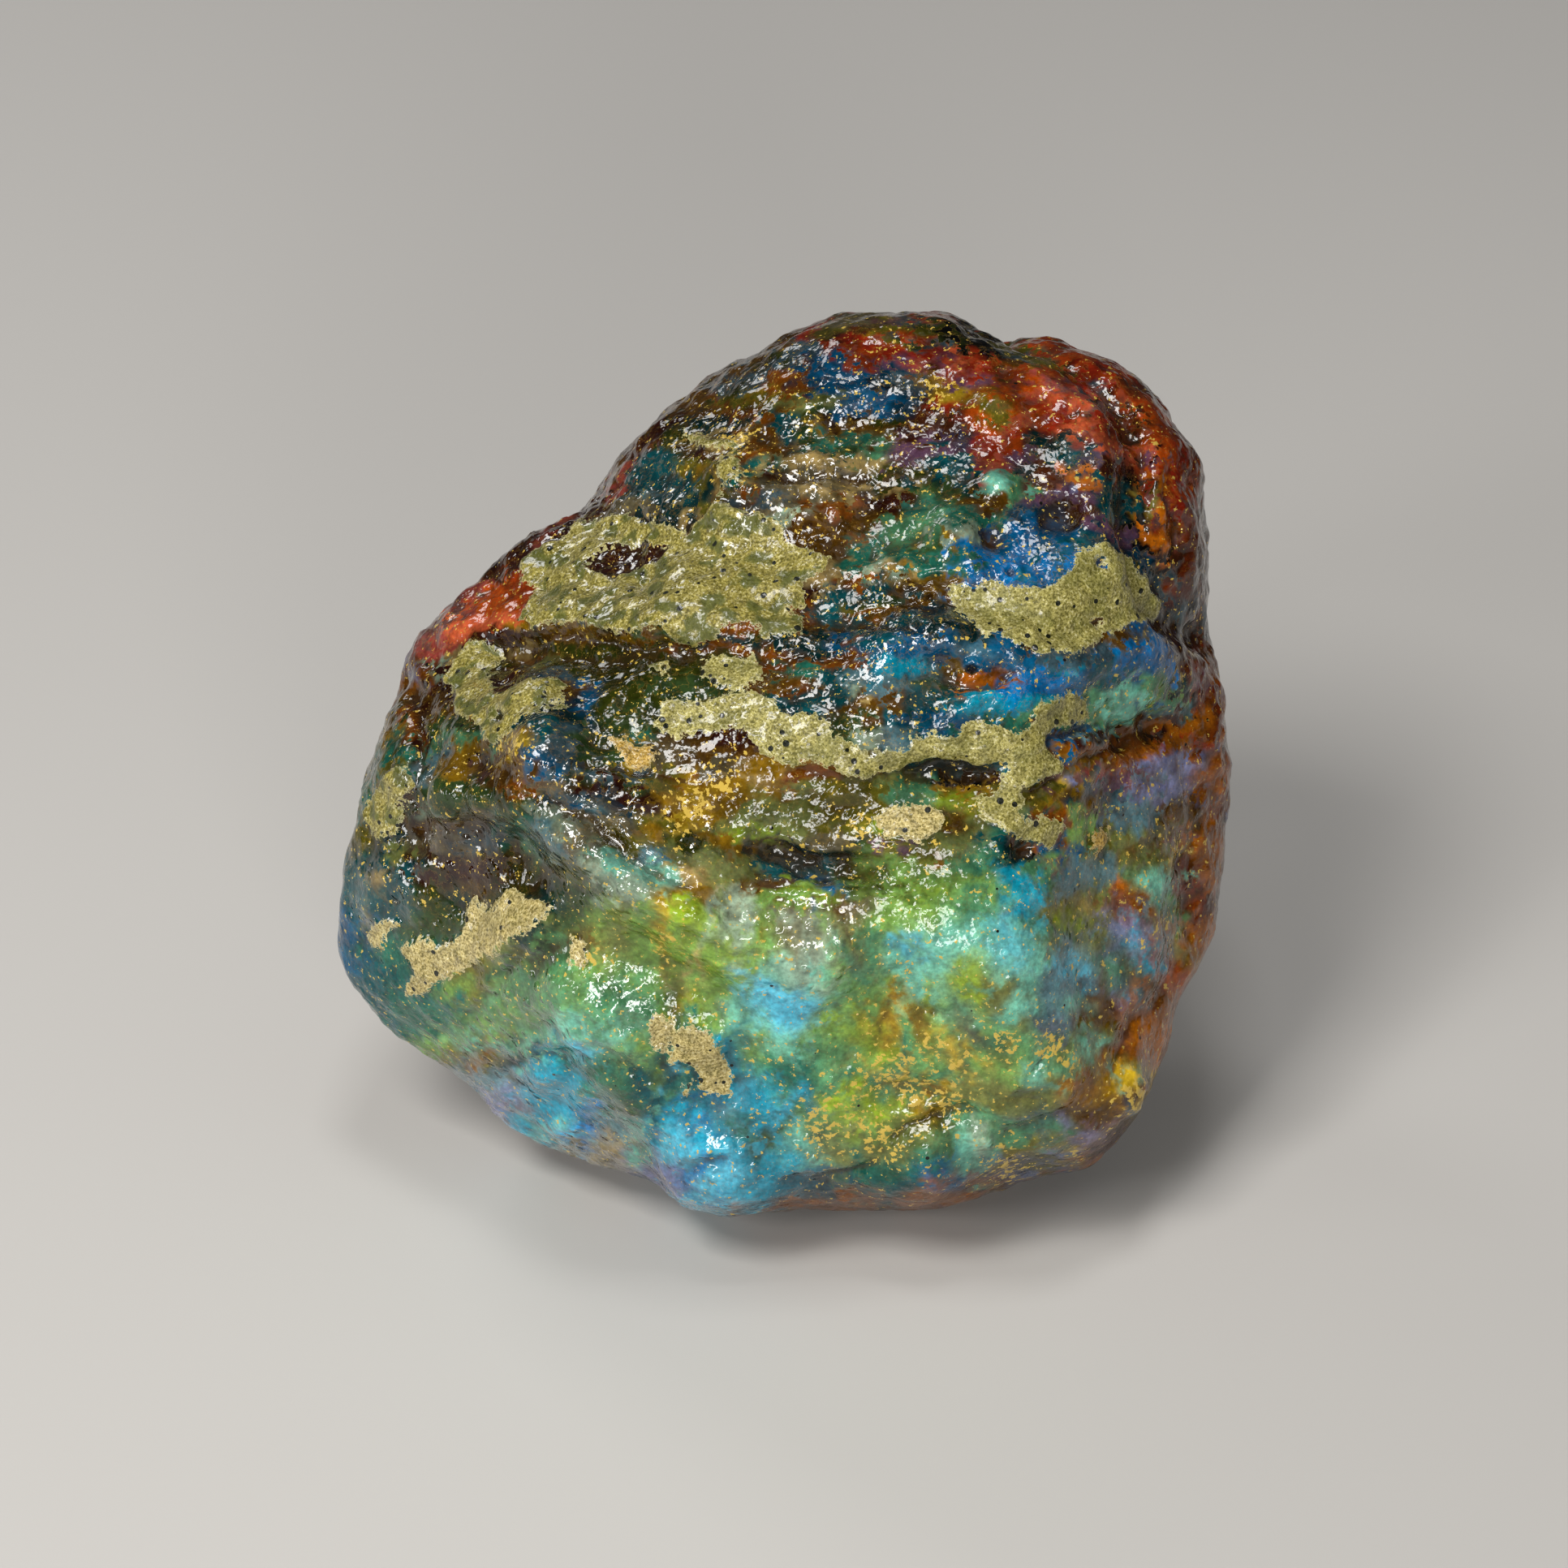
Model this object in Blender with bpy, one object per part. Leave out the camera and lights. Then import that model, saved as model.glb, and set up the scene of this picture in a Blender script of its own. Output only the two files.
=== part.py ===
# A rough nugget of blue amber: one solid, water-worn stone that rests on a small flat spot.
#
# The stone is a pillow with a broad face that leans back. Its rim follows an outline, soft
# facets flatten the pillow, and then folds, creases, lumps and pits are laid on its skin.
# Their places are millimetres right and up of the stone's heart, seen square on to the broad
# face. The same pair of numbers on the back is seen through the stone, from the front.

import math
from typing import NamedTuple

import bmesh
import bpy
import numpy as np
from mathutils import Vector, noise

MM = 0.001

# Driving dimensions
FACE_TILT = math.radians(32)  # how far the broad face looks up from the level
FRONT_DEPTH = 22.0 * MM  # from the plane of the rim to the front of the pillow
BACK_DEPTH = 23.0 * MM  # from the plane of the rim to its back
FULLNESS = 2.35  # 2 is an ellipse in section, and more is boxier
REST_DROP = 25.2 * MM  # from the heart down to the flat spot
REST_ROUNDING = 0.3 * MM  # how much softer than the cut the underside is flattened first
FACET_SOFTNESS = 1.6 * MM  # how round the edges between facets are
WEATHER_SIZE = 9.0 * MM  # across one swell of the weathered skin
WEATHER_HEIGHT = 0.55 * MM

BALL_SUBDIVISIONS = 7  # of the ball that the skin is drawn on, which has 81920 triangles
KEPT_SHARE = 0.105  # of those triangles, most of them where the skin bends

FRONT = 1
BACK = -1

# The broad face's own directions, and straight down
RIGHT = np.array((1.0, 0.0, 0.0))
UP = np.array((0.0, math.sin(FACE_TILT), math.cos(FACE_TILT)))
OUT = np.array((0.0, -math.cos(FACE_TILT), math.sin(FACE_TILT)))
DOWN = np.array((0.0, 0.0, -1.0))
GROUND_SIZE = 100.0 * MM
LEAST_FACING = 0.05  # keeps a facet's reach finite in the directions that never meet it

AMBER_COLOUR = (0.10, 0.30, 0.26, 1.0)
AMBER_ROUGHNESS = 0.18
AMBER_IOR = 1.54

# The rim: bearing in degrees, anticlockwise from the face's right, and millimetres from the heart
RIM = (
    (0, 28.9),
    (12, 28.9),
    (18, 28.8),
    (27, 30.9),
    (38, 33.4),
    (48, 34.2),
    (57, 33.3),
    (64, 31.8),
    (71, 31.9),
    (80, 30.3),
    (92, 27.9),
    (104, 25.7),
    (116, 23.3),
    (125, 22.1),
    (136, 22.4),
    (148, 23.5),
    (160, 25.5),
    (171, 26.1),
    (181, 27.4),
    (192, 29.3),
    (203, 32.1),
    (211, 31.9),
    (220, 30.2),
    (236, 29.5),
    (251, 28.0),
    (263, 29.0),
    (275, 28.1),
    (288, 29.9),
    (300, 30.7),
    (311, 32.4),
    (320, 31.2),
    (329, 29.6),
    (340, 30.2),
    (351, 28.8),
)


class Facet(NamedTuple):
    """A flattened side: the bearing and lean that it looks along, and millimetres from the heart.

    A lean of 0 looks out of the broad face, 90 out of the rim and 180 out of the back."""

    bearing: float
    lean: float
    away: float


class Line(NamedTuple):
    """A fold or crease along places on one side, with its height and half width in millimetres."""

    side: int
    height: float
    half_width: float
    places: tuple


class Spot(NamedTuple):
    """A lump or pit at one place, with its half width and height in millimetres."""

    right: float
    up: float
    side: int
    half_width: float
    height: float


FACETS = {
    "upper_face": Facet(100, 27, 20.6),
    "lower_face": Facet(268, 33, 22.6),
    "right_flank": Facet(352, 52, 24.8),
    "left_flank": Facet(196, 48, 24.2),
    "crown_left": Facet(135, 55, 20.4),
    "lower_left": Facet(232, 62, 25.6),
    "back_slab": Facet(70, 160, 20.4),
    "back_right": Facet(330, 130, 23.8),
    "back_left": Facet(200, 135, 23.4),
    "back_foot": Facet(265, 140, 28.2),
    "crown_back": Facet(85, 125, 25.0),
}

FOLDS = {
    "front_brow": Line(
        FRONT, 1.5, 2.2, ((-18.5, -1.2), (-15, -2.6), (-12, -5.4), (-8, -7.8), (-3, -10), (4, -11.2))
    ),
    "brow_fork": Line(FRONT, 0.7, 1.4, ((-9, -9.5), (-5.5, -11.8), (-1, -13), (3, -13.4))),
    "terrace_lip": Line(FRONT, 0.8, 2.0, ((-22, 10.2), (-17, 11.2), (-11, 10.2), (-5, 10.6), (0, 10))),
    "crown_brow": Line(FRONT, 0.8, 1.5, ((-8.5, 22.5), (-4, 20.6), (1, 18.6), (5.5, 16.8))),
    "upper_ripple": Line(FRONT, 0.7, 1.2, ((1, 13.2), (5.5, 14), (10, 14.4), (14, 14))),
    "blue_ripple": Line(FRONT, 1.0, 1.3, ((0.5, 6.8), (4.5, 8), (8.5, 9), (12.5, 8.7), (16.5, 7.2))),
    "bright_ripple": Line(FRONT, 1.0, 1.4, ((7, 3), (12, 4.6), (17, 6.4), (21.5, 8.2), (25, 7.5))),
    "shoulder": Line(FRONT, 0.7, 1.8, ((-21, 3), (-17, 1.5), (-12, -0.5), (-8, -3.5))),
    "keel": Line(FRONT, 1.0, 3.2, ((-1.5, -14), (0.5, -18), (1.3, -22.5), (-0.5, -26.5))),
    "right_edge": Line(FRONT, 0.9, 2.2, ((25.5, -2), (25.8, -7), (24.5, -12.5), (23, -17))),
    "lower_swell": Line(FRONT, 0.7, 2.4, ((-19, -14.5), (-13, -16), (-7.5, -18))),
    "left_drape": Line(FRONT, 0.7, 1.3, ((-14.8, -9), (-18, -11.5), (-22.5, -13.6))),
    "right_drape": Line(FRONT, 0.5, 1.4, ((8, -8), (12.5, -14), (15.5, -19))),
    "back_ridge": Line(BACK, 1.4, 3.0, ((-20, 4), (-10, 9), (2, 10), (14, 15))),
    "back_ripple": Line(BACK, 1.0, 1.8, ((-16, -8), (-6, -5), (6, -8), (16, -6))),
    "back_shelf": Line(BACK, 0.9, 1.5, ((-6, 3), (3, 4.5), (12, 3), (19, 6))),
    "back_heel": Line(BACK, 1.0, 2.6, ((2, -14), (8, -18), (15, -19))),
}

CREASES = {
    "crown_groove": Line(
        FRONT,
        1.9,
        1.4,
        ((13.8, 28.6), (17.5, 27), (20.8, 24.8), (22.6, 21.5), (22.6, 15), (24.2, 11.2), (27, 9)),
    ),
    "ledge": Line(FRONT, 1.2, 1.4, ((-25, 7), (-22, 8.7), (-17.5, 9.1), (-12, 7.9), (-6, 8), (1, 7.2))),
    "left_crease": Line(FRONT, 1.4, 1.2, ((-25.5, 6), (-24.4, 3), (-24.6, -0.5), (-25.6, -3.4), (-27.2, -6))),
    "long_valley": Line(FRONT, 1.3, 3.6, ((-9, 3), (-4, -1), (1, -3), (6, -3), (11, -2))),
    "dark_slot": Line(FRONT, 1.4, 1.1, ((-3.5, -4.6), (-0.5, -5.4), (3.5, -5.9), (8, -7))),
    "dark_hollow": Line(FRONT, 1.0, 2.2, ((-21.5, -5), (-18, -6.2), (-14.5, -6.6))),
    "eye_slot": Line(FRONT, 1.0, 1.0, ((6.5, 0.2), (10, -0.5), (14, 0.2))),
    "ripple_trough": Line(FRONT, 0.9, 1.0, ((8, 6.4), (12, 6.4), (16, 5.3), (19.5, 5.0))),
    "upper_trough": Line(FRONT, 0.8, 1.1, ((0, 11.6), (5, 11.4), (10, 11.8), (15, 10.6))),
    "saddle": Line(FRONT, 1.0, 3.0, ((-14, 17.5), (-8, 17), (-2, 16))),
    "fan_hollow": Line(FRONT, 0.9, 2.6, ((-13, -10), (-10, -12.5), (-5, -14.5))),
    "drape_gap": Line(FRONT, 0.7, 1.2, ((-14, -10.5), (-16.5, -13), (-20, -15.5))),
    "right_seam": Line(FRONT, 1.0, 1.2, ((17, 2.8), (21, 3.8), (24, 2.6), (27, 3.5))),
    "foot_fold": Line(FRONT, 0.8, 1.3, ((7, -23), (10.5, -22.2), (14.5, -23.6))),
    "back_hollow": Line(BACK, 1.8, 5.5, ((-8, -1), (2, 1), (10, 2))),
    "back_crease": Line(BACK, 1.3, 1.4, ((-22, 12), (-12, 15), (-3, 20), (3, 25))),
    "back_seam": Line(BACK, 1.1, 1.2, ((-25, -4), (-16, -13), (-6, -16), (0, -22))),
    "back_split": Line(BACK, 0.9, 1.1, ((8, 13), (14, 9), (21, 8))),
}

LUMPS = {
    "crown_bead": Spot(14.0, 24.2, FRONT, 1.6, 0.7),
    "glint_bead": Spot(13.8, 18.9, FRONT, 1.5, 0.9),
    "pale_bead": Spot(11.5, 15.8, FRONT, 1.9, 1.1),
    "slate_bead": Spot(-15.2, 1.6, FRONT, 1.8, 1.2),
    "crust_bead": Spot(-18.2, 4.6, FRONT, 1.9, 0.9),
    "green_bead": Spot(-22.4, -1.2, FRONT, 1.6, 1.0),
    "moss_bead": Spot(-19.6, -1.9, FRONT, 1.3, 0.9),
    "ripple_bead": Spot(6.6, 6.4, FRONT, 1.8, 0.7),
    "left_bead": Spot(-27.2, -6.4, FRONT, 1.8, 0.8),
    "left_drop": Spot(-27.0, -9.2, FRONT, 1.6, 0.7),
    "foot_bead": Spot(-13.8, -20.0, FRONT, 1.9, 0.8),
    "foot_drop": Spot(-10.2, -22.2, FRONT, 1.9, 0.8),
    "fan_bead": Spot(-5.8, -18.2, FRONT, 1.6, 0.6),
    "toe": Spot(-4.0, -26.0, FRONT, 3.0, 0.9),
    "right_toe": Spot(8.0, -25.5, FRONT, 2.6, 0.9),
    "toe_bead": Spot(13.5, -22.0, FRONT, 2.0, 0.7),
    "yellow_corner": Spot(22.0, -20.6, FRONT, 2.0, 1.0),
    "belly_swell": Spot(14.0, -11.0, FRONT, 2.6, 0.6),
    "flank_swell": Spot(19.5, -3.0, FRONT, 2.4, 0.6),
    "rim_lobe": Spot(26.2, 19.0, FRONT, 2.2, 0.8),
    "back_knob": Spot(-10.0, 13.5, BACK, 3.2, 1.0),
    "back_boss": Spot(12.0, 6.0, BACK, 2.4, 0.9),
    "back_cheek": Spot(17.0, -12.0, BACK, 3.4, 1.1),
    "back_bump": Spot(-18.0, -8.0, BACK, 2.6, 0.9),
    "back_bead": Spot(-6.0, -10.0, BACK, 2.2, 0.9),
    "back_crown": Spot(5.0, 22.0, BACK, 3.0, 0.8),
    "back_drop": Spot(22.0, 12.0, BACK, 2.0, 0.8),
}

PITS = {
    "deep_pit": Spot(17.8, 17.0, FRONT, 1.2, 1.8),
    "brown_pit": Spot(24.0, 2.8, FRONT, 1.0, 1.3),
    "terrace_pit": Spot(-10.6, 14.2, FRONT, 1.2, 1.1),
    "terrace_hole": Spot(-13.2, 14.0, FRONT, 1.0, 0.8),
    "seam_pit": Spot(15.2, -4.8, FRONT, 0.9, 0.9),
    "back_pit": Spot(-5.0, 15.0, BACK, 1.3, 1.4),
    "back_hole": Spot(9.0, -3.0, BACK, 1.2, 1.2),
    "back_dimple": Spot(-13.0, -4.0, BACK, 1.0, 1.1),
    "back_nick": Spot(20.0, 2.0, BACK, 1.2, 1.2),
}


def rim_radius(bearings):
    """Distance from the heart to the rim, on a smooth closed curve through RIM's points."""
    degrees, reach = np.array(RIM, float).T
    reach = reach * MM
    degrees = np.concatenate((degrees[-2:] - 360, degrees, degrees[:2] + 360))
    reach = np.concatenate((reach[-2:], reach, reach[:2]))
    slope = np.gradient(reach, degrees)
    wanted = np.degrees(bearings) % 360
    after = np.searchsorted(degrees, wanted, side="right")
    before = after - 1
    span = degrees[after] - degrees[before]
    t = (wanted - degrees[before]) / span
    return (
        (2 * t**3 - 3 * t**2 + 1) * reach[before]
        + (t**3 - 2 * t**2 + t) * span * slope[before]
        + (3 * t**2 - 2 * t**3) * reach[after]
        + (t**3 - t**2) * span * slope[after]
    )


def facing(facet):
    """The way a facet looks, as a unit vector."""
    bearing, lean = math.radians(facet.bearing), math.radians(facet.lean)
    along_rim = math.cos(bearing) * RIGHT + math.sin(bearing) * UP
    return math.sin(lean) * along_rim + math.cos(lean) * OUT


def faceted_pillow(directions):
    """How far the plain stone reaches from its heart in each direction."""
    across, up, out = directions @ RIGHT, directions @ UP, directions @ OUT
    rim = rim_radius(np.arctan2(up, across))
    depth = np.where(out > 0, FRONT_DEPTH, BACK_DEPTH)
    share = (np.hypot(across, up) / rim) ** FULLNESS + (np.abs(out) / depth) ** FULLNESS
    reach = share ** (-1 / FULLNESS)
    planes = [(facing(facet), facet.away * MM) for facet in FACETS.values()]
    planes.append((DOWN, REST_DROP + REST_ROUNDING))
    for normal, away in planes:
        flat = away / np.maximum(directions @ normal, LEAST_FACING)
        near = np.maximum(FACET_SOFTNESS - np.abs(reach - flat), 0) / FACET_SOFTNESS
        reach = np.minimum(reach, flat) - near**2 * FACET_SOFTNESS / 4
    return reach


def on_skin(right, up, side):
    """The point of the plain stone's skin at that place of its face or of its back."""
    from_middle = math.hypot(right, up) * MM
    rim = float(rim_radius(np.array([math.atan2(up, right)]))[0])
    depth = FRONT_DEPTH if side == FRONT else BACK_DEPTH
    out = side * depth * max(1 - (from_middle / rim) ** FULLNESS, 0.0) ** (1 / FULLNESS)
    point = right * MM * RIGHT + up * MM * UP + out * OUT
    direction = point / np.linalg.norm(point)
    return direction * faceted_pillow(direction[None, :])[0]


def smooth_path(line, steps=8):
    """Points on the skin along a Catmull-Rom curve through the line's places."""
    places = np.array(line.places, float)
    knots = np.vstack((2 * places[0] - places[1], places, 2 * places[-1] - places[-2]))
    curve = []
    for a, b, c, d in zip(knots, knots[1:], knots[2:], knots[3:]):
        for t in np.arange(steps) / steps:
            bend = (2 * a - 5 * b + 4 * c - d) * t**2 + (3 * b - a - 3 * c + d) * t**3
            curve.append(b + 0.5 * ((c - a) * t + bend))
    curve.append(places[-1])
    return np.array([on_skin(right, up, line.side) for right, up in curve])


def nearest_on_path(points, path):
    """Each point's distance to the path, and how far along it, from 0 to 1, the nearest place is."""
    best = np.full(len(points), np.inf)
    along = np.zeros(len(points))
    for i, (start, end) in enumerate(zip(path, path[1:])):
        step = end - start
        t = np.clip((points - start) @ step / (step @ step), 0, 1)
        distance = np.linalg.norm(points - start - t[:, None] * step, axis=1)
        closer = distance < best
        best[closer] = distance[closer]
        along[closer] = (i + t[closer]) / (len(path) - 1)
    return best, along


def swell(distance, half_width):
    """A round-topped bump of height 1 that is gone at about twice its half width."""
    return np.exp(-((distance / half_width) ** 2))


def relief(points):
    """How far the folds, creases, lumps and pits raise each point of the skin."""
    raised = np.zeros(len(points))
    for sign, lines in ((1, FOLDS), (-1, CREASES)):
        for line in lines.values():
            distance, along = nearest_on_path(points, smooth_path(line))
            taper = np.sin(np.pi * np.clip(along, 0.08, 0.92)) ** 0.5
            raised += sign * line.height * MM * taper * swell(distance, line.half_width * MM)
    for sign, spots in ((1, LUMPS), (-1, PITS)):
        for spot in spots.values():
            distance = np.linalg.norm(points - on_skin(spot.right, spot.up, spot.side), axis=1)
            raised += sign * spot.height * MM * swell(distance, spot.half_width * MM)
    return raised


def weathering(points):
    """The uneven swells of a water-worn skin, the same on each run."""
    swells = [noise.fractal(Vector(point) / WEATHER_SIZE, 0.8, 2.1, 4) for point in points]
    return np.array(swells) * WEATHER_HEIGHT


def skin_points(directions):
    """The finished skin in these directions from the heart, not yet cut at the flat spot."""
    plain = directions * faceted_pillow(directions)[:, None]
    return plain + directions * (relief(plain) + weathering(plain))[:, None]


def standing(points):
    """The points moved so that the stone's cut is at z = 0 and its box is centred on the origin."""
    middle = (points.min(axis=0) + points.max(axis=0)) / 2
    return points - np.array((middle[0], middle[1], -REST_DROP))


def amber_material():
    material = bpy.data.materials.new("blue_amber")
    material.use_nodes = True
    shader = material.node_tree.nodes["Principled BSDF"]
    shader.inputs["Base Color"].default_value = AMBER_COLOUR
    shader.inputs["Roughness"].default_value = AMBER_ROUGHNESS
    shader.inputs["Metallic"].default_value = 0.0
    shader.inputs["IOR"].default_value = AMBER_IOR
    return material


def make_ground():
    """A block below z = 0 that cuts the flat spot, and isn't part of the stone."""
    block = bmesh.new()
    bmesh.ops.create_cube(block, size=GROUND_SIZE)
    bmesh.ops.translate(block, verts=block.verts, vec=(0.0, 0.0, -GROUND_SIZE / 2))
    mesh = bpy.data.meshes.new("ground")
    block.to_mesh(mesh)
    block.free()
    ground = bpy.data.objects.new("ground", mesh)
    bpy.context.scene.collection.objects.link(ground)
    ground.hide_render = True
    ground.display_type = "WIRE"
    return ground


def make_nugget(ground):
    ball = bmesh.new()
    bmesh.ops.create_icosphere(ball, subdivisions=BALL_SUBDIVISIONS, radius=1.0)
    directions = np.array([vertex.co for vertex in ball.verts], float)
    directions /= np.linalg.norm(directions, axis=1)[:, None]
    for vertex, point in zip(ball.verts, standing(skin_points(directions))):
        vertex.co = point
    mesh = bpy.data.meshes.new("nugget")
    ball.to_mesh(mesh)
    ball.free()
    mesh.materials.append(amber_material())
    mesh.shade_smooth()
    nugget = bpy.data.objects.new("nugget", mesh)
    bpy.context.scene.collection.objects.link(nugget)
    thinned = nugget.modifiers.new("thinned", "DECIMATE")
    thinned.ratio = KEPT_SHARE
    flat_spot = nugget.modifiers.new("flat_spot", "BOOLEAN")
    flat_spot.operation = "DIFFERENCE"
    flat_spot.solver = "EXACT"
    flat_spot.object = ground


def main():
    for obj in list(bpy.data.objects):
        bpy.data.objects.remove(obj)
    make_nugget(make_ground())


main()
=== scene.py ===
# A rough nugget of blue amber: wet-looking resin in blues, greens and reds, with matt olive
# crust on its high places. It lies on a plain pale floor, seen from the photograph's angle.
#
# Places on the stone are pixels of the 1932-pixel photograph: u to the right and v down. The
# camera carries them onto the stone's skin. The same places, turned round, dress the back, which
# the photograph doesn't show.

import math
from typing import NamedTuple

import bmesh
import bpy
import numpy as np
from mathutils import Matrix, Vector, noise


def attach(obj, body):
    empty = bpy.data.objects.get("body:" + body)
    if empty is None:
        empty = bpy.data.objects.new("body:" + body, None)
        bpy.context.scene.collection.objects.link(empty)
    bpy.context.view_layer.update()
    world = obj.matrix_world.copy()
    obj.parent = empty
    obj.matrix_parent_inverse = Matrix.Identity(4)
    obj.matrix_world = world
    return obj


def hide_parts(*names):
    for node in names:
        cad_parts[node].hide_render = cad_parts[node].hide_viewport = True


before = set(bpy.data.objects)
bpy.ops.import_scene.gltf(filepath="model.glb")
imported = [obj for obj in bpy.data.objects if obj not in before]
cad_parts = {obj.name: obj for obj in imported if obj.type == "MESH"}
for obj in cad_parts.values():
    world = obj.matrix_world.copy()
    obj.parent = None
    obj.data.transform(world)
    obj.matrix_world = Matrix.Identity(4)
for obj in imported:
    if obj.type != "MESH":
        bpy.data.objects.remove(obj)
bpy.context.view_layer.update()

MM = 0.001

# The camera
PHOTO_SIZE = 1932
PIXEL = 0.053 * MM  # of the photograph, at the plane of the stone's rim
LENS = 150.0
SENSOR = 36.0
ELEVATION = math.radians(32)
AIM = Vector((0.02, -1.17, 25.28)) * MM
DISTANCE = PHOTO_SIZE * PIXEL * LENS / SENSOR
TO_CAMERA = Vector((0.0, -math.cos(ELEVATION), math.sin(ELEVATION)))

# The back wears the same marks as the front, turned round about the stone's middle
MIDDLE = np.array((965.0, 940.0))
BACK_TURN = math.radians(152)
BACK_REACH = 1.04  # how much further from the middle a mark lies on the back

# White light that the wet skin sends back everywhere, taken off the colours
SHEEN = 0.010

# Wet resin drinks light: its colours are deeper than they look under these lights
DEEPER = 0.60

# The lower face's streaks fan out from here
FAN_CENTRE = np.array((960.0, 800.0))

# The lower face begins between these heights in the picture, in hundreds of pixels down
LOWER_FACE = (10.2, 11.6)

# The skin's mesh
VOXEL = 0.27 * MM
SMOOTHINGS = 34
MOST_TRIANGLES = 198000

# Heights of the relief, in mm. The second of a pair is added high on the stone.
SWELL = (0.20, 0.06)
RIPPLE = (0.08, 0.07)
FLOW = 0.17
BEAD = 0.17
CRUST_PLATE = 0.15
CRUST_LIP = 0.07
CRUST_GRAIN = 0.03

# How far apart the small beads lie, and the fine relief that the material adds
BEAD_SPACING = 0.95 * MM
SKIN_BUMP = 0.11 * MM
CRUST_BUMP = 0.06 * MM

# How far the tints are drawn out along the flow, in pixels, high and low on the stone
STREAK = (22, 46)
MOTTLE_STREAK = (-30, -54)

# The rim has its own colours; on the right they are partly a painted glow of light through the thin
# edge. They lie where the skin faces the camera this much: 1 is full on, -1 is turned away.
RIM_FACING = -0.24

# Colours in the material, as the eye sees them, besides the tints
GILT_LINE = (0.45, 0.34, 0.14)
# Painted shade: the dark brown laid into hollows and creases
PAINTED_HOLLOW_SHADE = (0.17, 0.11, 0.05)
BLACK_SPECK = (0.06, 0.06, 0.05)
# Small bright dots: partly gold flecks, partly painted glints that stay bright under any light
GOLD_SPECK_AND_GLINT = (0.80, 0.70, 0.42)
GOLD_FLAKE = (0.72, 0.61, 0.27)
DARK_GRAIN = (0.62, 0.62, 0.52)  # the crust's colour is multiplied by it
# The crust's pale grains: partly paler grain, partly painted wet glints
PALE_GRAIN_AND_GLINT = (0.84, 0.82, 0.66)
WORN = (0.27, 0.29, 0.12)
CRUST_PORE = (0.08, 0.09, 0.05)
FLOOR = (0.70, 0.69, 0.675)

# Clear amber, as light passes through it
ABSORBED = (0.93, 0.33, 0.03, 1.0)
ABSORPTION = 700.0

# Soft lights, all facing the stone: place and size in metres, watts and colour
WHITE = (1.0, 1.0, 1.0)
WARM_WHITE = (1.0, 0.98, 0.95)
LIGHTS = {
    "key": ((-0.165, -0.235, 0.41), 0.15, 1.8, WARM_WHITE),
    "overhead": ((0.0, -0.05, 0.60), 0.12, 0.8, WHITE),
    "back_left": ((-0.24, 0.30, 0.30), 0.12, 0.35, WHITE),
    "left": ((-0.54, -0.14, 0.09), 0.12, 0.6, WHITE),
    "left_front": ((-0.36, -0.42, 0.33), 0.12, 0.9, WHITE),
    "front": ((0.08, -0.57, 0.20), 0.14, 1.3, (1.0, 0.98, 0.96)),
    "low_front": ((-0.06, -0.60, 0.08), 0.10, 0.8, WHITE),
    "fill": ((0.20, -0.10, 0.60), 0.50, 0.30, WHITE),
}
WORLD_LIGHT = (0.95, 0.97, 1.0, 1.0)
WORLD_STRENGTH = 0.04

# Colours as the eye sees them, and how clear the resin is there, from 0 to 1
PALETTE = {
    "ink": ((0.07, 0.05, 0.03), 0.05),
    "umber": ((0.22, 0.13, 0.05), 0.03),
    "brown": ((0.36, 0.25, 0.11), 0.05),
    "rust": ((0.50, 0.28, 0.08), 0.08),
    "amber": ((0.62, 0.36, 0.11), 0.25),
    "garnet": ((0.45, 0.20, 0.09), 0.20),
    "maroon": ((0.30, 0.17, 0.12), 0.05),
    "scarlet": ((0.62, 0.25, 0.12), 0.20),
    "ember": ((0.74, 0.31, 0.08), 0.20),
    "orange": ((0.86, 0.47, 0.12), 0.20),
    "crimson": ((0.58, 0.18, 0.12), 0.12),
    "coral": ((0.82, 0.38, 0.24), 0.10),
    "rose": ((0.62, 0.29, 0.25), 0.08),
    "mauve": ((0.45, 0.32, 0.30), 0.08),
    "violet": ((0.38, 0.27, 0.35), 0.05),
    "lilac": ((0.47, 0.48, 0.62), 0.04),
    "slate": ((0.25, 0.33, 0.36), 0.04),
    "navy": ((0.09, 0.23, 0.30), 0.05),
    "ink_teal": ((0.07, 0.20, 0.20), 0.05),
    "teal": ((0.08, 0.31, 0.33), 0.02),
    "lagoon": ((0.17, 0.41, 0.34), 0.02),
    "blue": ((0.02, 0.35, 0.50), 0.04),
    "azure": ((0.02, 0.44, 0.68), 0.04),
    "cyan": ((0.10, 0.55, 0.65), 0.03),
    "steel": ((0.35, 0.48, 0.51), 0.03),
    "sky": ((0.33, 0.69, 0.79), 0.02),
    "turquoise": ((0.42, 0.69, 0.60), 0.02),
    # Painted highlight: the pale colour of the glints on the wet skin
    "painted_glint": ((0.58, 0.66, 0.56), 0.02),
    "sea": ((0.31, 0.52, 0.37), 0.02),
    "green": ((0.22, 0.29, 0.17), 0.02),
    "moss": ((0.21, 0.23, 0.10), 0.05),
    "olive": ((0.38, 0.36, 0.14), 0.05),
    "sage": ((0.45, 0.48, 0.27), 0.03),
    "grass": ((0.45, 0.60, 0.29), 0.03),
    "lime": ((0.55, 0.65, 0.18), 0.03),
    "ochre": ((0.53, 0.40, 0.12), 0.05),
    "gold": ((0.66, 0.55, 0.16), 0.04),
    "tan": ((0.62, 0.53, 0.33), 0.02),
    "ash": ((0.40, 0.37, 0.28), 0.03),
}

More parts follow.
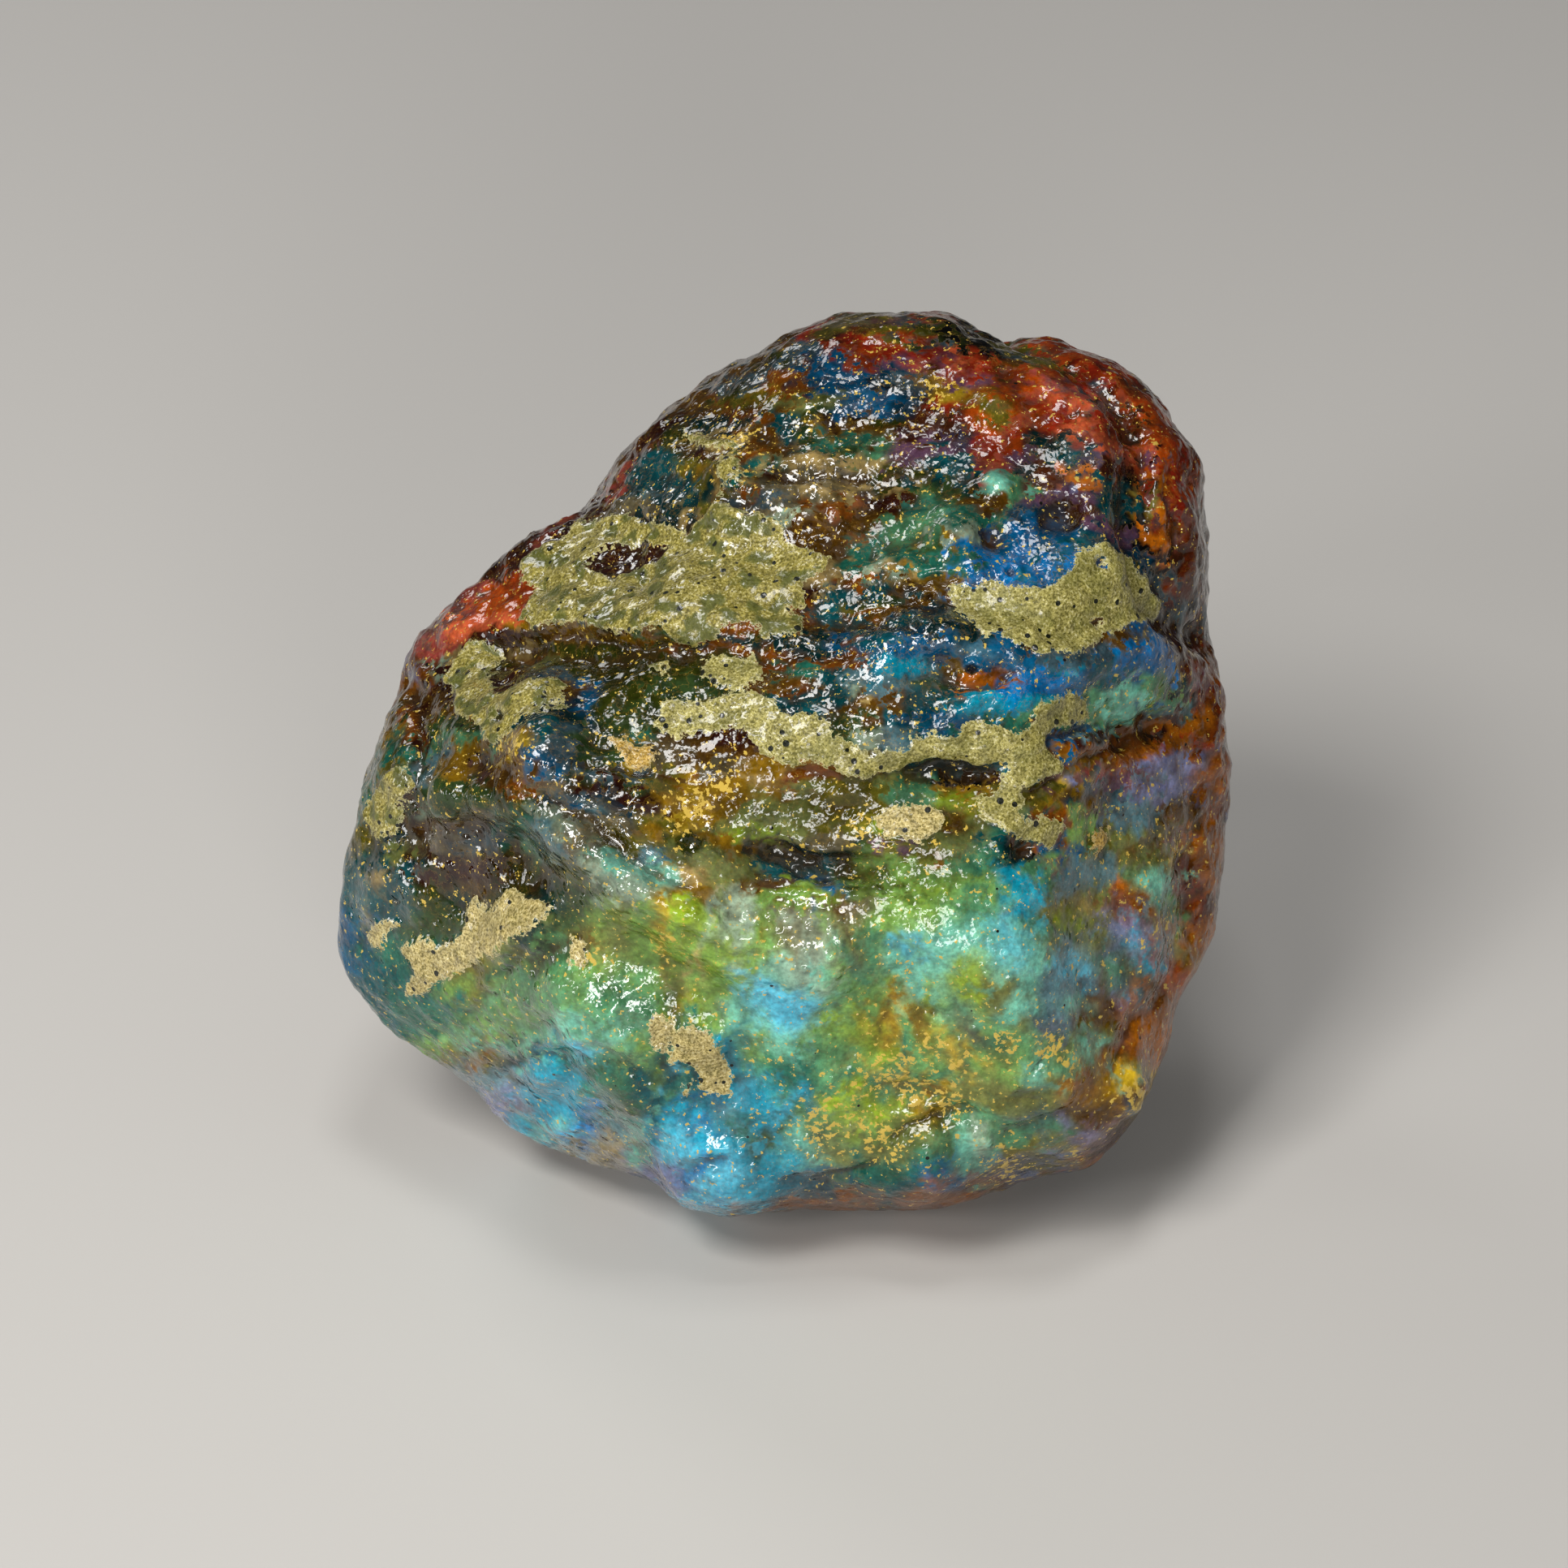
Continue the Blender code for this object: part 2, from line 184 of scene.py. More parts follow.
# Where each colour shows: u, v, half length, half width, and the turn of the length in degrees,
# anticlockwise from level, where it has one
TINTS = {
    "ink": (
        (1394, 540, 30, 9, -65), (1404, 605, 40, 9, -88), (1410, 665, 22, 10, -80),
        (1448, 756, 20, 14, -40), (1468, 785, 14, 22, 20), (1311, 634, 18, 10, -20), (587, 942, 10, 8),
        (1425, 903, 8, 7), (1230, 436, 30, 6, -15), (1178, 962, 22, 7), (1019, 519, 8, 6),
        (850, 556, 8, 7), (1256, 1046, 10, 16), (1052, 1070, 14, 9), (738, 787, 9, 7), (989, 660, 9, 11),
        (1195, 412, 34, 7, -18), (1238, 1034, 10, 5, -35), (745, 1008, 20, 7, -25),
        (1440, 700, 12, 22, -20), (479, 1224, 4, 8), (1082, 474, 14, 6), (585, 1060, 14, 5, 10),
        (625, 1095, 12, 5, -20), (560, 1085, 12, 5, 15), (655, 1085, 14, 6, 30),
    ),
    "umber": (
        (700, 634, 50, 10, 38), (726, 612, 16, 12, 30), (640, 780, 34, 8, 5), (805, 518, 26, 10, 20),
        (1090, 622, 26, 14, -5), (960, 588, 34, 6), (1040, 588, 40, 7, -4), (1385, 498, 28, 10, -35),
        (1440, 780, 12, 30, 30), (640, 838, 14, 16, 50), (1132, 532, 12, 14), (1372, 570, 12, 9),
        (1320, 450, 50, 5, -18), (800, 992, 30, 11, -28), (896, 905, 36, 12, -10), (515, 880, 6, 30),
        (512, 990, 6, 30, 15), (722, 972, 46, 7, -8), (1075, 1072, 16, 12), (860, 555, 20, 6),
        (1345, 910, 20, 5, 20), (1228, 665, 12, 6, -30), (1150, 1382, 20, 7, 15), (1480, 1100, 16, 30),
        (1395, 1385, 24, 8, 40), (1475, 720, 8, 24), (1418, 896, 14, 12), (995, 736, 12, 8),
        (640, 690, 14, 8, 30), (535, 842, 24, 10, -10), (1285, 907, 26, 5, 22), (1255, 970, 14, 5, -10),
        (846, 900, 20, 5), (770, 682, 40, 9, 8), (870, 455, 24, 7, 32), (735, 600, 14, 9, 40),
        (600, 1075, 24, 10, 20), (640, 1050, 20, 9, -20), (565, 1062, 60, 22), (1462, 868, 8, 22),
    ),
    "brown": (
        (915, 455, 22, 10, 25), (962, 428, 22, 8, 25), (940, 500, 46, 7, 5), (945, 547, 22, 10),
        (1000, 662, 26, 16), (1045, 645, 40, 12), (1068, 872, 34, 14), (985, 842, 36, 7, -4),
        (700, 782, 50, 10, -3), (500, 850, 10, 20), (545, 872, 26, 12, -10), (620, 950, 28, 14),
        (862, 925, 40, 14, -5), (1350, 1235, 20, 32, -10), (1345, 1370, 32, 18, 15),
        (1410, 1205, 22, 14, -30), (545, 1008, 34, 8, 5), (940, 1090, 30, 8, 8), (1335, 785, 44, 8, -4),
        (1400, 1050, 16, 20), (1090, 758, 20, 6), (1030, 776, 26, 5), (1120, 738, 22, 12),
        (725, 1160, 14, 32, -15), (1180, 620, 16, 8), (1215, 617, 28, 9, -5), (1240, 452, 26, 7, -12),
        (1460, 1000, 26, 16), (1340, 985, 24, 10, -10), (850, 945, 24, 8), (1175, 1012, 18, 14),
        (1035, 1112, 20, 10), (1060, 530, 34, 10), (855, 498, 20, 9, 10), (700, 860, 16, 14),
        (760, 580, 14, 10, 45), (820, 500, 26, 8, 30), (570, 1095, 30, 10),
    ),
    "rust": (
        (870, 478, 14, 7, 40), (982, 466, 18, 9, 10), (915, 506, 26, 6, 8), (928, 555, 24, 8, 12),
        (1055, 716, 24, 5, 10), (1068, 753, 26, 5, 6), (1015, 811, 38, 5, 8), (964, 816, 16, 7),
        (985, 848, 18, 5), (908, 612, 12, 7, -30), (1040, 630, 30, 7, 8), (1395, 912, 22, 10, 15),
        (1000, 955, 44, 7, 4), (985, 752, 10, 12), (880, 793, 44, 5, -3), (902, 768, 22, 5),
        (665, 808, 24, 5, -10), (1235, 832, 22, 5, 6), (505, 892, 8, 20), (1310, 1014, 8, 18, -20),
        (1270, 1006, 18, 6, -5), (640, 975, 14, 12, -30), (1060, 666, 18, 6, -20), (1340, 930, 22, 6, 5),
        (1210, 480, 12, 8), (1330, 1345, 22, 14, 40), (600, 1298, 14, 8, 60), (990, 768, 20, 5, 10),
        (1145, 1065, 16, 6, 10), (935, 1155, 10, 7), (520, 826, 8, 20, -20), (855, 968, 14, 6),
        (1262, 1040, 12, 5, -30), (1392, 1112, 26, 12, 20), (1496, 860, 8, 60), (1376, 938, 26, 10, 8),
    ),
    "amber": (
        (500, 845, 8, 16), (1496, 1040, 10, 40), (1484, 1180, 14, 30, -15), (1436, 1255, 14, 30, -30),
        (1150, 1476, 70, 12, 8), (1480, 1040, 14, 30), (1412, 1300, 12, 24, -20), (1400, 1325, 16, 8),
        (1474, 892, 24, 12), (1395, 1272, 16, 16), (1450, 1170, 10, 30, -10), (1040, 1484, 60, 7, 6),
        (1492, 960, 9, 40), (1494, 1075, 8, 30), (1478, 1140, 10, 30, -15), (1420, 1270, 14, 22, -40),
        (1445, 1225, 10, 20, -35), (1478, 1152, 14, 32, -10), (1500, 960, 8, 60),
        (1340, 1462, 40, 10, 20), (1180, 1482, 80, 7, 2), (1432, 916, 22, 6, 20),
    ),
    "garnet": (
        (1500, 930, 9, 60), (1474, 640, 10, 40), (1480, 860, 16, 26), (1385, 1300, 10, 24),
        (1500, 1000, 8, 40), (1482, 560, 8, 26, 20), (1462, 1090, 10, 26), (1462, 700, 11, 60, -4),
        (1480, 790, 11, 60, -2),
    ),
    "maroon": (
        (1484, 700, 9, 50), (1490, 800, 10, 40), (790, 555, 16, 7, 50), (640, 695, 24, 8, 30),
        (1150, 460, 18, 8), (1330, 626, 26, 8), (1390, 478, 22, 8, -30), (1465, 815, 10, 26, 30),
        (1160, 522, 26, 14, -10), (1105, 745, 14, 6), (1050, 408, 26, 6, 15), (1450, 690, 8, 30, 10),
        (900, 440, 30, 7, 30), (1290, 590, 20, 14), (1372, 530, 14, 14), (1250, 475, 20, 7, -10),
        (1330, 510, 18, 6, -15), (1400, 520, 14, 8, -40),
    ),
    "scarlet": (
        (1300, 432, 40, 7, -14), (1400, 492, 26, 10, -38), (1436, 546, 12, 26, 30),
        (1460, 585, 12, 28, 12), (640, 722, 18, 14, 30), (1143, 390, 16, 6, -5), (1412, 575, 14, 12),
        (1497, 1122, 6, 16), (1455, 1212, 14, 14, -30), (1464, 912, 14, 8), (1110, 422, 30, 9, -3),
        (1060, 434, 22, 6), (1290, 455, 34, 8, -16), (1428, 1190, 8, 16), (1470, 612, 8, 30),
        (1270, 515, 20, 8), (1240, 462, 20, 8, -10), (1380, 515, 12, 10),
    ),
    "ember": (
        (1418, 522, 16, 16, -40), (612, 742, 22, 13, 38), (1240, 480, 22, 14, -10),
        (1260, 505, 28, 8, -10), (1432, 560, 10, 20, 10), (1270, 482, 22, 14), (1370, 468, 20, 5, -25),
        (1250, 545, 22, 10), (645, 745, 10, 10), (1205, 520, 22, 10, 5), (1410, 545, 10, 10),
    ),
    "orange": (
        (1422, 594, 7, 20, -8), (1434, 662, 11, 22, 8), (1426, 628, 7, 16), (1334, 585, 14, 10, -15),
        (1112, 522, 8, 5), (1202, 841, 22, 6), (1390, 1098, 14, 7),
    ),
    "crimson": (
        (1056, 424, 22, 9), (1130, 436, 30, 11, -5), (1180, 456, 30, 10, -10), (1290, 495, 34, 14, -10),
        (1300, 515, 24, 12), (1435, 590, 12, 20), (1180, 500, 30, 8, -5), (1440, 625, 7, 28),
        (1230, 555, 30, 12), (1365, 528, 22, 16, -20), (1350, 470, 30, 7, -18), (990, 418, 18, 6, 25),
        (1215, 450, 20, 8), (1452, 565, 14, 14), (1095, 430, 18, 8), (1350, 458, 30, 9, -22),
        (1225, 540, 30, 14, 8),
    ),
    "coral": (
        (1342, 538, 26, 12, -18), (1370, 550, 22, 9, -18), (1320, 520, 16, 10), (1290, 488, 20, 8),
        (560, 762, 22, 9, 30), (1390, 562, 14, 8, -30), (1330, 492, 20, 8), (1228, 570, 16, 7),
        (1185, 448, 14, 8), (600, 765, 36, 8, 20),
    ),
    "rose": (
        (1320, 480, 34, 9, -14), (1225, 570, 22, 9), (1185, 462, 28, 8, -10), (765, 588, 7, 18, -45),
        (535, 790, 24, 11, 50), (1340, 545, 10, 8), (1270, 465, 24, 7, -10), (1385, 560, 16, 9, -20),
        (1140, 452, 18, 8), (1000, 410, 24, 5, 25), (690, 648, 30, 5, 38), (575, 740, 24, 6, 35),
        (1400, 1050, 8, 8), (1350, 945, 24, 8),
    ),
    "mauve": (
        (515, 812, 10, 26, -20), (540, 772, 20, 8, 48), (1458, 632, 9, 42), (1358, 500, 24, 9, -15),
        (1472, 690, 5, 30, 15), (1400, 962, 30, 9, -8), (1390, 1290, 10, 18), (1380, 1240, 26, 10, -20),
        (1345, 1402, 34, 10, 20), (1482, 950, 16, 24), (1310, 960, 14, 10), (1445, 1035, 16, 16),
        (1492, 820, 6, 26), (1100, 395, 30, 5), (595, 950, 14, 7), (1295, 1068, 10, 8),
        (1490, 1085, 7, 24), (640, 1375, 20, 8, -30),
    ),
    "violet": (
        (1162, 450, 14, 13), (1207, 472, 18, 9), (1255, 568, 10, 10), (1116, 562, 24, 11),
        (1316, 607, 36, 10, -3), (1352, 642, 24, 9, -20), (1185, 545, 24, 9), (1372, 658, 20, 6, -25),
        (1345, 568, 14, 8), (1385, 962, 24, 10), (1418, 558, 8, 10), (1100, 448, 18, 7),
        (1480, 842, 10, 12), (1090, 1045, 10, 7),
    ),
    "lilac": (
        (1446, 955, 40, 20, -4), (1425, 975, 34, 12, -8), (1385, 1138, 14, 24), (1465, 940, 18, 10),
        (816, 1442, 28, 12, -20), (1316, 600, 9, 7), (1355, 1152, 14, 18), (1330, 962, 12, 10),
        (1375, 1225, 12, 12), (620, 1358, 22, 14, -30), (508, 825, 7, 16), (1295, 1270, 14, 8),
        (1150, 1452, 12, 7), (1260, 1448, 34, 7, 12), (1330, 1400, 24, 7, 20), (1430, 975, 36, 16),
    ),
    "slate": (
        (900, 472, 26, 8, 15), (972, 436, 20, 9, 15), (1105, 472, 28, 10, -5), (1440, 722, 16, 26, -30),
        (1340, 568, 16, 8), (690, 832, 24, 10), (1290, 1265, 24, 14, -20), (1290, 1378, 30, 16, 10),
        (1395, 1218, 14, 20), (1250, 1448, 40, 9, 10), (1330, 812, 38, 11, 5), (905, 445, 18, 6, 20),
        (1375, 985, 22, 12), (1345, 955, 14, 14), (700, 985, 20, 8), (930, 622, 30, 9, 10),
        (1120, 395, 26, 6), (760, 955, 40, 7), (1400, 1385, 12, 8, 30), (1470, 750, 10, 16, -10),
        (1352, 478, 18, 5, -18), (1000, 1468, 44, 10, -4), (1150, 425, 16, 6), (1250, 440, 20, 5, -15),
        (1310, 478, 14, 6, -15), (1200, 500, 14, 5), (686, 928, 28, 20, -10), (600, 1036, 30, 10),
    ),
    "navy": (
        (1125, 492, 22, 11), (1088, 462, 20, 9), (1190, 545, 18, 10, -10), (1278, 632, 24, 10, 5),
        (1410, 690, 20, 14, -40), (708, 875, 26, 14), (1115, 782, 34, 8, 3), (752, 995, 34, 7, -30),
        (1186, 524, 8, 9), (1430, 745, 14, 12, -40), (425, 1165, 10, 28), (1340, 655, 24, 7, -20),
        (655, 830, 12, 14), (1250, 484, 7, 6), (1150, 760, 20, 8), (1330, 990, 10, 9), (1003, 462, 18, 9),
    ),
    "ink_teal": (
        (840, 628, 16, 24), (1284, 548, 24, 20), (1180, 595, 20, 8), (1002, 1052, 48, 12, -2),
        (968, 1040, 30, 10), (1195, 602, 18, 7), (672, 1125, 26, 20), (960, 790, 46, 8, -3),
        (1160, 770, 34, 14, -20), (700, 890, 30, 9), (482, 1030, 18, 9, 20), (1455, 848, 8, 20),
        (1300, 575, 12, 10), (640, 1305, 12, 14), (635, 1180, 26, 6, 45), (1250, 1050, 12, 18),
        (880, 600, 12, 8), (735, 775, 12, 7), (895, 782, 14, 7), (880, 522, 22, 8, 10),
        (675, 1105, 26, 22), (560, 1100, 30, 14, 10),
    ),
    "teal": (
        (812, 572, 26, 10, 12), (830, 603, 30, 12), (1168, 575, 30, 12, -8), (1320, 560, 18, 18),
        (1050, 728, 36, 9, 6), (1025, 755, 18, 18), (1372, 618, 14, 22), (1142, 872, 32, 18, 25),
        (990, 1068, 40, 12), (480, 1110, 40, 26), (455, 1060, 14, 22, 10), (455, 1205, 30, 18, -30),
        (668, 912, 22, 14, -10), (1330, 665, 20, 12), (1305, 690, 12, 18), (1185, 945, 50, 8),
        (1015, 862, 36, 10), (1020, 832, 28, 12), (830, 620, 20, 10), (1400, 615, 6, 20),
        (1100, 1462, 40, 12, 5), (1075, 790, 30, 8), (968, 530, 16, 18), (1350, 838, 26, 10),
        (860, 1330, 22, 14), (1145, 765, 30, 7), (925, 575, 24, 6), (1240, 1030, 18, 26, -50),
        (1475, 765, 6, 12), (800, 1335, 20, 20), (1270, 700, 10, 30), (540, 1240, 40, 8, -30),
        (1140, 625, 30, 10),
    ),
    "lagoon": (
        (1040, 542, 30, 11), (935, 576, 24, 7), (1085, 680, 32, 16, -30), (1130, 694, 54, 9),
        (490, 925, 14, 20), (452, 975, 10, 24), (470, 1172, 26, 12), (510, 1235, 30, 14, -25),
        (555, 1255, 34, 14, -30), (1190, 637, 36, 9, -4), (720, 1312, 40, 10, -4), (985, 825, 20, 8, 20),
        (1225, 1045, 12, 30, -35), (955, 1322, 36, 16), (1090, 1442, 26, 14), (790, 905, 12, 7),
        (640, 1220, 16, 10, 40), (1250, 895, 34, 9), (905, 1385, 20, 18), (1118, 1300, 24, 12),
        (1440, 1115, 12, 16), (760, 1350, 26, 14), (640, 1030, 14, 14), (1140, 1420, 18, 9),
        (840, 1270, 18, 8), (1295, 1145, 22, 10),
    ),
    "blue": (
        (1028, 462, 34, 13, -4), (1066, 498, 34, 10, 4), (1300, 665, 20, 20), (1130, 797, 60, 12, -4),
        (1215, 812, 44, 14, -8), (730, 860, 16, 13, 10), (430, 1150, 14, 26), (436, 1185, 12, 16, -20),
        (1312, 1048, 20, 11), (1300, 640, 16, 8), (1325, 1048, 10, 8), (1145, 887, 24, 9),
        (1395, 825, 18, 10), (1008, 1085, 24, 6), (1320, 905, 20, 8, 20), (1320, 830, 30, 9),
        (1240, 665, 16, 18), (860, 1360, 26, 16), (1150, 1442, 22, 14), (1040, 786, 18, 8),
        (1416, 866, 10, 7), (715, 1000, 10, 7, -30), (672, 942, 18, 14),
    ),
    "azure": (
        (1272, 690, 38, 26), (1270, 845, 34, 13, 12), (1412, 808, 32, 20, 12), (1265, 714, 20, 10),
        (870, 1440, 26, 8, 6), (715, 1396, 22, 11, -5), (1290, 832, 20, 9), (1245, 858, 30, 9, 8),
        (860, 1400, 16, 10), (1425, 795, 16, 10),
    ),
    "cyan": (
        (1212, 868, 34, 14, 10), (1255, 868, 30, 9, 4), (945, 1355, 36, 18, -15), (670, 1330, 28, 20),
        (665, 1372, 30, 18, -25), (850, 1380, 36, 18), (1110, 822, 34, 16), (940, 1425, 36, 18, 5),
        (905, 1310, 16, 26, -25), (940, 1470, 44, 10, 8), (1410, 1165, 14, 20), (870, 1420, 40, 14),
        (1325, 820, 20, 6), (1270, 1115, 16, 26, -25), (1245, 1085, 24, 16, -40),
    ),
    "steel": (
        (1115, 835, 36, 12), (1205, 806, 34, 10, -10), (1325, 1085, 24, 18), (1365, 1070, 20, 20),
        (1412, 998, 28, 16), (1355, 1165, 16, 20), (612, 1335, 30, 16, -20), (1300, 1222, 24, 20, -20),
        (1395, 1150, 14, 24), (895, 1372, 24, 14), (1435, 876, 16, 9, 10), (735, 1002, 30, 7, -28),
        (815, 615, 20, 9, 10), (1390, 1010, 24, 10), (1245, 1128, 10, 12), (1375, 1205, 16, 16),
        (1345, 905, 12, 7), (800, 1058, 16, 7), (1060, 830, 24, 10), (1420, 1140, 16, 10),
        (545, 930, 10, 18, -40), (1285, 1260, 14, 10), (1420, 960, 14, 12), (760, 1395, 20, 12),
        (1100, 905, 16, 8), (1318, 1165, 12, 18, 10), (672, 1040, 24, 14, -20),
    ),
    "sky": (
        (980, 1240, 32, 26, -20), (850, 1412, 34, 20, -10), (905, 1462, 34, 16, -5), (925, 1345, 14, 16),
        (880, 1475, 30, 12), (940, 1220, 24, 12), (1120, 1168, 20, 16), (905, 1415, 22, 18),
        (1232, 1150, 24, 14), (965, 1360, 16, 10), (700, 1405, 30, 6, -10), (835, 1300, 8, 8),
        (1320, 1195, 14, 16), (720, 1300, 20, 9), (1240, 1170, 22, 14),
    ),
    "turquoise": (
        (1236, 597, 14, 9), (748, 1058, 30, 12, -30), (1235, 1165, 40, 22, 10), (1130, 1190, 30, 24),
        (700, 1275, 52, 12, 4), (1195, 1420, 18, 14), (1250, 1195, 22, 18), (910, 1250, 24, 16),
        (1280, 1325, 20, 14, 20), (1240, 1235, 30, 18), (960, 1200, 30, 14), (1320, 1235, 18, 12),
        (1385, 865, 26, 18), (1425, 1085, 16, 18), (1110, 1205, 24, 12), (960, 1280, 22, 14),
        (1350, 1305, 30, 12, 10), (1170, 1215, 12, 22, 20), (790, 1400, 26, 12, -20), (680, 1395, 20, 8),
        (985, 1415, 24, 14), (600, 1280, 34, 8), (800, 1080, 20, 10), (1010, 1215, 20, 12),
        (1210, 1140, 24, 12), (1170, 1160, 22, 14),
    ),
    # Painted highlights, where the wet skin glints
    "painted_glint": (
        (782, 1086, 26, 12, -5), (1012, 1160, 28, 20), (535, 995, 16, 8, 10), (1207, 1398, 10, 12),
        (960, 640, 26, 9, 10), (908, 1180, 12, 12), (1085, 706, 14, 9), (885, 1145, 20, 9),
        (920, 1115, 10, 16, -20), (975, 1195, 26, 12), (545, 820, 16, 9), (1060, 835, 12, 9),
        (1180, 655, 18, 10), (1075, 903, 14, 9), (880, 1112, 20, 12), (1010, 1150, 16, 9),
        (975, 1140, 14, 8), (700, 1022, 24, 10, -35), (738, 1066, 16, 8, -30),
    ),
    "sea": (
        (1072, 560, 24, 12), (1115, 655, 28, 22), (1150, 625, 34, 14), (1115, 980, 32, 18),
        (1215, 1115, 40, 22), (700, 1235, 50, 26), (780, 1215, 30, 20), (1190, 1060, 40, 22),
        (680, 1200, 40, 20), (1255, 600, 8, 18), (750, 1250, 40, 14), (1420, 850, 14, 26, 35),
        (1145, 1320, 30, 14), (1210, 1250, 34, 20), (1260, 1290, 40, 18), (660, 1045, 26, 16),
        (1370, 1185, 18, 20), (1025, 1302, 34, 14), (1275, 890, 26, 8), (930, 1300, 20, 24),
        (1195, 1380, 30, 12, 10), (1250, 1395, 26, 12), (1020, 1395, 34, 18), (1060, 1170, 34, 22),
        (620, 1245, 20, 20), (1060, 1330, 40, 12), (560, 915, 20, 9, 20), (1345, 865, 18, 20),
        (1310, 1315, 30, 14), (770, 1300, 30, 10), (1045, 1225, 30, 16), (845, 1345, 16, 10),
        (1300, 1385, 20, 10), (965, 1345, 10, 10), (1270, 712, 12, 8), (1400, 1080, 14, 16),
        (1285, 1080, 16, 16), (640, 1270, 30, 14), (1160, 1400, 20, 12),
    ),
    "green": (
        (830, 855, 44, 16), (566, 985, 44, 15, 15), (632, 984, 20, 14), (705, 1110, 28, 34, -10),
        (1045, 890, 32, 10, 8), (960, 1395, 26, 12), (560, 893, 24, 10), (1165, 608, 34, 10),
        (890, 855, 20, 8), (760, 1320, 24, 9), (780, 885, 34, 10), (1120, 680, 20, 10),
        (1050, 560, 20, 9), (740, 920, 20, 22), (690, 1150, 16, 18), (785, 970, 20, 10),
        (1080, 745, 26, 8), (990, 540, 12, 8), (825, 775, 14, 8), (1140, 840, 20, 9), (530, 1140, 24, 14),
        (1130, 1405, 20, 10), (1005, 505, 14, 6), (770, 1360, 20, 16),
    ),
    "moss": (
        (770, 818, 80, 16), (700, 802, 50, 10), (1085, 524, 26, 9), (820, 885, 20, 8), (985, 520, 14, 14),
        (660, 1070, 26, 24), (1150, 405, 34, 8, -15), (900, 488, 16, 9), (835, 535, 24, 9, 10),
        (940, 780, 30, 6), (860, 825, 20, 14), (530, 1110, 24, 22), (845, 800, 40, 8),
        (620, 1100, 20, 20), (870, 465, 16, 7, 35), (1110, 578, 26, 7), (1165, 1405, 14, 8, 30),
        (1100, 1095, 40, 5), (1010, 490, 12, 6), (480, 870, 8, 14), (1400, 700, 6, 6), (660, 780, 14, 6),
        (940, 448, 14, 6), (738, 958, 24, 8, -10), (770, 868, 30, 22), (862, 1050, 30, 8, -25),
    ),
    "olive": (
        (920, 490, 40, 8, 10), (868, 596, 12, 22), (1225, 502, 28, 10, -2), (1270, 440, 60, 6, -20),
        (1040, 405, 30, 5, 20), (1110, 405, 40, 6, -3), (1045, 985, 44, 22), (1300, 1125, 22, 34),
        (1140, 1052, 60, 9), (1080, 1000, 30, 20), (1440, 1035, 10, 30), (1050, 1000, 30, 30),
        (600, 1295, 30, 10, 10), (730, 1180, 14, 20), (1135, 1385, 40, 12, 10), (580, 1215, 10, 22, -30),
        (448, 1040, 10, 26, 10), (1110, 1245, 34, 12), (1280, 1420, 44, 9, 12), (1340, 1145, 14, 20),
        (1060, 748, 22, 8, 5), (1280, 990, 30, 8, -4), (1360, 1290, 20, 16), (465, 945, 14, 16, 20),
        (845, 570, 14, 12), (860, 880, 20, 6), (1225, 1205, 30, 12), (1250, 1350, 44, 14, 10),
        (820, 960, 20, 10, -20), (1180, 990, 30, 10), (780, 1035, 30, 9, -20), (1270, 975, 20, 7, 10),
        (1350, 1040, 8, 20), (1130, 1010, 60, 8), (812, 1018, 22, 10, -15),
    ),
    "sage": (
        (960, 1015, 60, 16), (880, 1065, 44, 14, -10), (1170, 1040, 34, 16), (1395, 1055, 40, 26),
        (760, 1160, 34, 40), (1030, 1400, 34, 20), (1225, 1215, 30, 12), (665, 825, 24, 10, 20),
        (1310, 1300, 26, 12), (640, 1165, 30, 9, 20), (490, 1050, 16, 14), (1230, 1345, 40, 18, 5),
        (1110, 1400, 40, 14), (960, 985, 50, 16), (1400, 1075, 14, 24), (1040, 1415, 34, 14),
        (1280, 1355, 30, 14, 10), (1345, 1105, 18, 14), (1210, 1005, 26, 12), (1335, 1140, 20, 30),
        (900, 565, 14, 7), (1415, 620, 6, 16), (1100, 960, 26, 7, 10), (1450, 1165, 14, 14),
        (1300, 1415, 20, 8, 10), (1260, 1270, 30, 12), (860, 1240, 24, 8), (1040, 1145, 24, 18),
        (1000, 495, 34, 9, 4),
    ),
    "grass": (
        (640, 1235, 26, 30), (590, 1265, 34, 12, 20), (860, 1165, 34, 24, -20), (985, 1106, 44, 9),
        (1100, 1070, 50, 16), (1030, 1275, 40, 28, 15), (1060, 1215, 40, 16, 10), (800, 1140, 16, 40),
        (1335, 1015, 9, 32), (720, 1205, 40, 18), (1240, 1300, 30, 18), (805, 1290, 30, 12),
        (1130, 1110, 40, 16), (930, 1170, 22, 30, -30), (870, 1250, 30, 10, -30), (1145, 1300, 18, 16),
        (790, 1185, 40, 20), (820, 1215, 30, 14), (1090, 1225, 20, 14), (1200, 1085, 34, 14),
        (1110, 1140, 30, 12), (740, 1135, 20, 26), (560, 1230, 20, 10, 30), (1135, 1325, 16, 10),
        (1435, 855, 7, 16, 30), (1085, 1390, 24, 9), (885, 1200, 26, 18, -30), (1300, 1055, 8, 10),
    ),
    "lime": (
        (1184, 1205, 14, 34, -38), (852, 1248, 14, 9, -30), (1046, 1262, 34, 14, 12),
        (900, 1165, 30, 10, -40), (1062, 1362, 36, 12), (935, 1285, 14, 12, -30),
        (855, 1150, 22, 14, -20), (930, 1028, 26, 9), (1150, 1105, 20, 7), (1085, 1290, 26, 14, 20),
        (875, 1185, 20, 8, -40), (1435, 868, 5, 16, 30), (990, 1100, 30, 5), (1175, 988, 26, 7),
        (1445, 1120, 6, 12), (845, 1120, 12, 16), (1040, 1385, 20, 7), (1310, 1130, 7, 14),
        (1070, 1022, 18, 10),
    ),
    "ochre": (
        (855, 575, 14, 7, -10), (1152, 478, 26, 10, -18), (1010, 528, 22, 7, -10), (630, 915, 20, 9),
